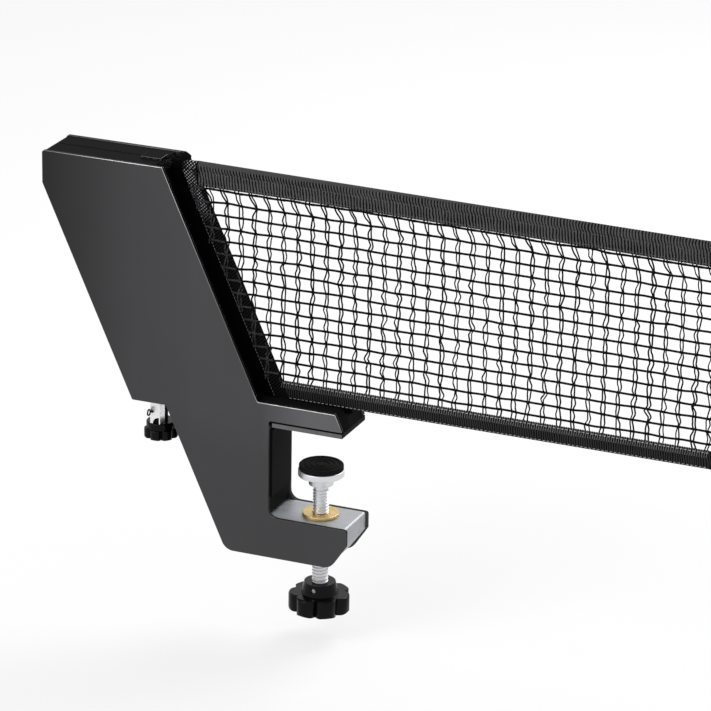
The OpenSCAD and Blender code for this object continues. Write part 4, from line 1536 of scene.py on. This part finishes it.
@dataclass
class Cord:
    """The braided cord from the cap through the band."""

    layout: NetLayout
    ridges: int = 8
    lay_length: float = 7 * MM
    relief: float = 0.13 * MM
    column_w: float = 0.6 * MM
    rows: int = 24

    def build(self) -> None:
        """Models the braid: two families of ridges that cross."""
        low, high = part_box("net_cord")
        radius = (high.z - low.z) / 2 - self.relief
        middle = (high.z + low.z) / 2
        length = high.x - low.x

        def place(share: float, way: float) -> Vector:
            x = low.x + share * length
            turn = way * math.tau
            along = x / self.lay_length * math.tau
            one = math.cos(self.ridges / 2 * turn + along)
            two = math.cos(self.ridges / 2 * turn - along)
            r = radius + self.relief * max(one, two)
            return Vector((x, r * math.cos(turn), middle + r * math.sin(turn)))

        cord = swept("net_cord_braid", int(length / self.column_w), self.rows, place)
        dressed(cord, Finishes.cord, Body.NET, ["net_cord"])


@dataclass
class Gather:
    """The side tape's upper end, bunched between the plates and drawn along the cord to the band."""

    BUNCH_GRID: ClassVar[tuple[int, int]] = (64, 72)
    NECK_GRID: ClassVar[tuple[int, int]] = (60, 54)
    LUMP_SEED: ClassVar[int] = 1500
    CREASE_SEED: ClassVar[int] = 1600
    NECK_SEED: ClassVar[int] = 1700
    CREASES: ClassVar[int] = 8
    # Depth, number round the roll and twist of each set of folds.
    FOLDS: ClassVar[tuple[tuple[float, int, float], ...]] = ((0.3 * MM, 3, 11.0), (0.24 * MM, 7, -15.0))

    layout: NetLayout
    front: Vector = field(default_factory=lambda: Vector((-74.0, -14.0, 150.5)) * MM)
    middle: Vector = field(default_factory=lambda: Vector((-73.1, -2.0, 150.7)) * MM)
    rear: Vector = field(default_factory=lambda: Vector((-69.1, 14.7, 149.9)) * MM)
    front_r: float = 1.9 * MM
    rear_r: float = 4.5 * MM
    neck_r: float = 2.5 * MM
    neck_start: float = -73.0 * MM

    def build(self) -> None:
        """Models the bunch across the gap and the neck round the cord, which go with the side tape."""
        colour = (0.0105, 0.0105, 0.011)
        bunch = TwillTape("bunch_twill", (0.011, 0.011, 0.0115), 0.85, 0.0, 0.2, 1.1, 1.2)
        # The neck's twill: painted shade up to x = -63.2 mm and painted highlight specks for 12 mm past it.
        neck = TwillTape("neck_twill", colour, 0.85, 0.0, 0.2, 1.1, 2.3, fold=-63.2, light_w=12.0, fade=2.6)
        dressed(self.bunch(), bunch)
        dressed(self.neck(), neck)

    def bunch(self) -> bpy.types.Object:
        """A lumpy roll of cloth from one plate to the other, fullest at the rear."""
        lumps = Wander(self.LUMP_SEED, 3.2 * MM, 0.32 * MM)
        creases = Wander.family(self.CREASE_SEED, self.CREASES, 4.5 * MM, 0.3 * MM)

        def place(share: float, way: float) -> Vector:
            bend = share * share
            near = 4 * share * (1 - share)
            middle = self.front.lerp(self.rear, share) + (self.middle - (self.front + self.rear) / 2) * near
            radius = self.front_r + (self.rear_r - self.front_r) * bend * share
            turn = way * math.tau
            along = share * (self.rear.y - self.front.y)
            fold = sum(deep * math.cos(times * turn + twist * share) for deep, times, twist in self.FOLDS)
            crease = creases[round(way * self.CREASES) % self.CREASES].at(along) * math.cos(4 * turn) ** 2
            ends = (1 - abs(2 * share - 1) ** 28) ** 0.5
            r = (radius + fold + crease + lumps.at(along)) * max(0.06, ends)
            slump = -0.38 * r * math.sin(turn) * share
            return Vector((middle.x + r * math.cos(turn) + slump, middle.y, middle.z + r * math.sin(turn)))

        return swept("tape_bunch", *self.BUNCH_GRID, place)

    def neck(self) -> bpy.types.Object:
        """Cloth drawn in pleats round the cord, from the bunch to the band."""
        right = self.layout.band_start + 0.4 * MM
        length = right - self.neck_start
        bunch = Wander(self.NECK_SEED, 4 * MM, 0.25 * MM)

        def place(share: float, way: float) -> Vector:
            turn = way * math.tau
            swell = self.neck_r + 0.5 * MM * math.exp(-((share / 0.35) ** 2))
            pleat = 0.26 * MM * math.cos(9 * turn + 5 * math.sin(share * 7)) * (1 - share * 0.6)
            r = swell + pleat + bunch.at(share * length) * (1 - share)
            x = self.neck_start + share * length
            return Vector((x, r * math.cos(turn), self.layout.cord_z + r * math.sin(turn) * 0.98))

        return swept("tape_neck", *self.NECK_GRID, place)


@dataclass
class Net:
    """The whole net, from its cord to its lower tape."""

    def build(self) -> None:
        """Models the net's parts in order, and lets them hang."""
        layout = NetLayout()
        rigid = set(bpy.data.objects)
        Cord(layout).build()
        Gather(layout).build()
        TopBand(layout).build()
        SideTape(layout).build()
        LowerTape(layout).build()
        EndTape(layout).build()
        NetField(layout).build()
        for piece in set(bpy.data.objects) - rigid:
            for vertex in piece.data.vertices:
                vertex.co.z -= layout.sag(vertex.co)


# ---------------------------------------------------------------- studio


@dataclass
class Camera:
    """A long lens, well back, that looks down on the net from the right of the post."""

    place: Vector = field(default_factory=lambda: Vector((0.9765, -2.2241, 0.9501)))
    yaw: float = math.radians(22.681)
    pitch: float = math.radians(20.53)
    roll: float = math.radians(0.881)
    lens_mm: float = 220.7
    nearest: float = 0.05
    farthest: float = 50.0

    def build(self) -> None:
        """Adds the camera and makes it the scene's."""
        back = Vector((math.sin(self.yaw) * math.cos(self.pitch), -math.cos(self.yaw) * math.cos(self.pitch),
                       math.sin(self.pitch)))
        right = Vector((0, 0, 1)).cross(back).normalized()
        up = back.cross(right)
        axes = Matrix((right, up, back)).transposed() @ Matrix.Rotation(self.roll, 3, "Z")
        data = bpy.data.cameras.new("studio_camera")
        data.lens = self.lens_mm
        data.clip_start = self.nearest
        data.clip_end = self.farthest
        camera = bpy.data.objects.new("studio_camera", data)
        camera.matrix_world = Matrix.Translation(self.place) @ axes.to_4x4()
        bpy.context.scene.collection.objects.link(camera)
        bpy.context.scene.camera = camera


@dataclass(frozen=True)
class SoftBox:
    """A square studio lamp that points at the post."""

    name: str
    place: Vector
    size: float
    watts: float
    aim: Vector = Vector((-0.02, 0.0, 0.06))

    def build(self) -> None:
        """Adds the lamp."""
        data = bpy.data.lights.new(self.name, "AREA")
        data.shape = "SQUARE"
        data.size = self.size
        data.energy = self.watts
        lamp = bpy.data.objects.new(self.name, data)
        lamp.location = self.place
        lamp.visible_camera = False
        lamp.rotation_euler = (self.aim - self.place).to_track_quat("-Z", "Y").to_euler()
        bpy.context.scene.collection.objects.link(lamp)


@dataclass
class Studio:
    """A white sweep, an even surround and two soft boxes."""

    surround: float = 0.5
    screw_travel: float = 17.1 * MM
    floor_gap: float = 0.5 * MM
    floor_size: float = 14.0
    floor_cuts: int = 3
    shadow_share: float = 0.3
    lamps: tuple[SoftBox, ...] = (
        SoftBox("key_box", Vector((-0.9, -1.3, 1.3)), 0.9, 15.0),
        SoftBox("rim_box", Vector((0.35, 1.1, 1.1)), 0.8, 14.0),
    )

    @staticmethod
    def seen(graph: Graph) -> Value:
        """1 for rays that show a background: the camera's, and those through gloss or glass."""
        path = graph.node("ShaderNodeLightPath")
        rays = [Value(graph, path.outputs[f"Is {kind} Ray"]) for kind in ("Camera", "Glossy", "Transmission")]
        return rays[0].largest(rays[1]).largest(rays[2])

    def world(self) -> None:
        """An even grey surround for light, white where it is seen."""
        world = bpy.data.worlds.new("surround")
        bpy.context.scene.world = world
        graph = Graph.of(world)
        seen = self.seen(graph)
        strength = seen * (1 - self.surround) + self.surround
        back = graph.node("ShaderNodeBackground", {}, {"Color": (1.0, 1.0, 1.0), "Strength": strength})
        graph.node("ShaderNodeOutputWorld", {}, {"Surface": back.outputs[0]})

    def floor(self, height: float) -> None:
        """A pale floor that shows white, and keeps the post's soft shadow."""
        floor = added("studio_floor", bpy.ops.mesh.primitive_plane_add, size=self.floor_size,
                      location=(0, 0, height))
        settle(floor)
        with editing(floor):
            bpy.ops.mesh.select_all(action="SELECT")
            bpy.ops.mesh.subdivide(number_cuts=self.floor_cuts)
        material = bpy.data.materials.new("white_sweep")
        graph = Graph.of(material)
        paint = graph.node("ShaderNodeBsdfDiffuse", {}, {"Color": (0.97, 0.97, 0.97)})
        glow = graph.node("ShaderNodeEmission", {}, {"Color": (1.0, 1.0, 1.0), "Strength": 1.0})
        share = self.seen(graph) * (1 - self.shadow_share)
        both = graph.node("ShaderNodeMixShader", {}, {0: share, 1: paint.outputs[0], 2: glow.outputs[0]})
        graph.node("ShaderNodeOutputMaterial", {}, {"Surface": both.outputs[0]})
        floor.data.materials.append(material)
        floor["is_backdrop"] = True

    def build(self, lowest: float) -> None:
        """Sets the world, the floor below the clamp screw's lowest place and the lamps."""
        self.world()
        self.floor(lowest - self.screw_travel - self.floor_gap)
        for lamp in self.lamps:
            lamp.build()
        bpy.context.scene.view_settings.view_transform = "Standard"


def main() -> None:
    """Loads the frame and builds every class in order."""
    logging.basicConfig(level=logging.INFO, format="%(name)s: %(message)s")
    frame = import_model()
    low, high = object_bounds()
    Camera().build()
    Net().build()
    ClampScrew().build()
    HeightScrew().build()
    PostPieces().build(frame["nodes"])
    Studio().build(low.z)


if __name__ == "__main__":
    main()
